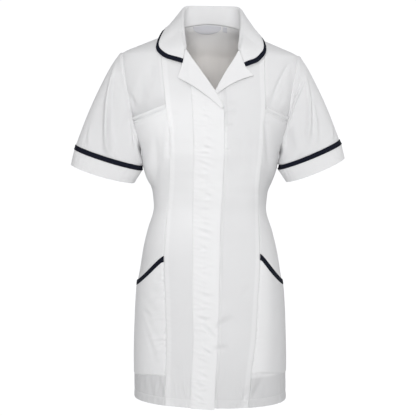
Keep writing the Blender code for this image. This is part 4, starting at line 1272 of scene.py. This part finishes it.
def split_trim(grid):
    """The collar up to the trim, and the trim along its outer edge."""
    first = len(LIP_STEPS) - 1
    start, edge = grid[:, first], grid[:, -1]
    length = np.linalg.norm(edge - start, axis=1)
    share = np.clip(1 - TRIM_WIDTH / length, 0.5, 0.95)[:, None]
    places = np.concatenate([[0], FALL_SHARES])
    fall = grid[:, first:]

    def at(t):
        i = np.clip(np.searchsorted(places, t[:, 0]) - 1, 0, len(places) - 2)
        local = ((t[:, 0] - places[i]) / (places[i + 1] - places[i]))[:, None]
        rows = np.arange(len(fall))
        return fall[rows, i] * (1 - local) + fall[rows, i + 1] * local

    gap = (TRIM_GAP / length)[:, None]
    cloth = [at(share * t) for t in np.linspace(0, 1, 25)[1:]]
    trim = [at(share + gap + (1 - share - gap) * t) for t in np.linspace(0, 1, 11)]
    return np.concatenate([grid[:, : first + 1], np.stack(cloth, 1)], axis=1), np.stack(trim, 1)


def make_lapels():
    to_corner = np.linspace(0, LAPEL_CORNER, 22)
    shares = np.concatenate([to_corner, np.linspace(LAPEL_CORNER, 0.972, 46)[1:]])
    for hand in (RIGHT, LEFT):
        lapel = Cloth(lapel_grid(hand, shares), hand == RIGHT)
        lapel.layers += 1.1
        shell(f"lapel_{NAMES[hand]}", lapel, LAPEL_CLOTH, white, 0)


def make_collar():
    cloth_part, trim_part = split_trim(collar_grid())
    cloth = Cloth(cloth_part)
    cloth.layers += 0.6
    shell("collar", cloth, DOUBLE, white, 0)
    trim = Cloth(trim_part)
    trim.raised(0.0003 - 0.0005 * np.exp(-((trim.left / 0.0010) ** 2)))
    shell("collar_trim", trim, TRIM, navy, 0)


def make_labels():
    """The woven crescent and the small size tab, bare, inside the back neck."""

    def hung(name, middle, half_width, drop, curved):
        across = np.linspace(-1, 1, 61 if curved else 15)
        x = middle + half_width * across
        top = back_neck(x) - 0.0004
        foot = drop * (0.12 + 0.88 * np.sqrt(1 - across**2)) if curved else drop + 0 * x
        z = top - foot * np.linspace(0, 1, 24)[:, None]
        depth = -CLOTH - (0.0014 if curved else 0.0011)
        grid = skin(np.broadcast_to(x, z.shape), z, BACK, depth + 0.0 * z)
        label = Cloth(grid)
        for edge in (label.foot, label.left, label.right):
            label.groove(edge, 0.0016, 0.0002, 0.0006)
        shell(name, label, LABEL_CLOTH, woven, 0)

    hung("neck_label", -0.0060, 0.0310, 0.0180, True)
    hung("size_tab", 0.0325, 0.0048, 0.0110, False)


front_right, front_left, front_band = make_right_front(), make_left_front(), make_band()
sides = {}
for hand in (RIGHT, LEFT):
    sides[hand] = make_side(hand)
    make_yoke(hand)
back = make_back()
bags = {hand: make_hip_pocket(hand) for hand in (RIGHT, LEFT)}
cuffs = {hand: make_sleeve(hand) for hand in (RIGHT, LEFT)}
make_lapels()
make_collar()
make_labels()

rows = [stitch_line(piece, "foot", HEM_STITCH) for piece in (front_right, front_left, back)]
rows += [stitch_line(sides[hand], "foot", HEM_STITCH) for hand in (RIGHT, LEFT)]
rows += [stitch_line(sides[hand], "top", MOUTH_STITCH) for hand in (RIGHT, LEFT)]
rows += [stitch_line(cuffs[hand], "top", CUFF_STITCH) for hand in (RIGHT, LEFT)]
rows += [stitch_line(front_band, "left", BAND_STITCH), stitch_line(front_band, "foot", HEM_STITCH)]
for hand in (RIGHT, LEFT):
    rows += [stitch_line(bags[hand], edge, POCKET_STITCH) for edge in ("left", "foot")]
stitches("topstitching", rows, thread)


# Floor, light and camera


def plain(name, colour, roughness):
    material = bpy.data.materials.new(name)
    material.use_nodes = True
    tree = material.node_tree
    fill(tree, tree.nodes["Principled BSDF"], {"Base Color": colour, "Roughness": roughness})
    return material


def make_stage():
    """A pale round floor where the wearer would stand, and a white surround, brightest behind."""
    turns = np.linspace(0, 2 * np.pi, 96, endpoint=False)
    rim = [(FLOOR_RADIUS * np.cos(a), FLOOR_RADIUS * np.sin(a), FLOOR_Z) for a in turns]
    floor = mesh_object("floor", rim, [tuple(range(len(rim)))], plain("floor", PALE, 0.9))
    world = bpy.data.worlds.new("studio")
    world.use_nodes = True
    tree = world.node_tree
    add = adder(tree)
    direction = add("ShaderNodeTexCoord").outputs["Generated"]
    ahead = add("ShaderNodeSeparateXYZ", {"Vector": direction}).outputs["Y"]
    span = SURROUND_START, SURROUND_END, AMBIENT, BEHIND
    glow = ramp(add, ahead, *span, interpolation_type="SMOOTHSTEP")
    fill(tree, tree.nodes["Background"], {"Strength": glow, "Color": SURROUND_COLOUR})
    bpy.context.scene.world = world
    bpy.context.scene.view_settings.view_transform = "Standard"


def softbox(name, place, size, power):
    light = bpy.data.lights.new(name, "AREA")
    light.shape = "SQUARE"
    light.size = size
    light.energy = power
    made = bpy.data.objects.new(name, light)
    bpy.context.scene.collection.objects.link(made)
    made.location = place
    aim = Vector(LAMP_AIM) - Vector(place)
    made.rotation_euler = aim.to_track_quat("-Z", "Y").to_euler()


def make_camera():
    lens = bpy.data.cameras.new("camera")
    lens.sensor_width = 36
    lens.lens = 18 / math.tan(math.radians(CAMERA_ANGLE / 2))
    lens.clip_start = 0.05
    camera = bpy.data.objects.new("camera", lens)
    bpy.context.scene.collection.objects.link(camera)
    tilt = math.radians(CAMERA_TILT)
    aim = Vector(CAMERA_AIM)
    camera.location = aim + Vector((0, -math.cos(tilt), math.sin(tilt))) * CAMERA_DISTANCE
    camera.rotation_euler = (aim - camera.location).to_track_quat("-Z", "Y").to_euler()
    bpy.context.scene.camera = camera


make_stage()
for lamp in LAMPS:
    softbox(*lamp)
make_camera()

bpy.context.view_layer.update()
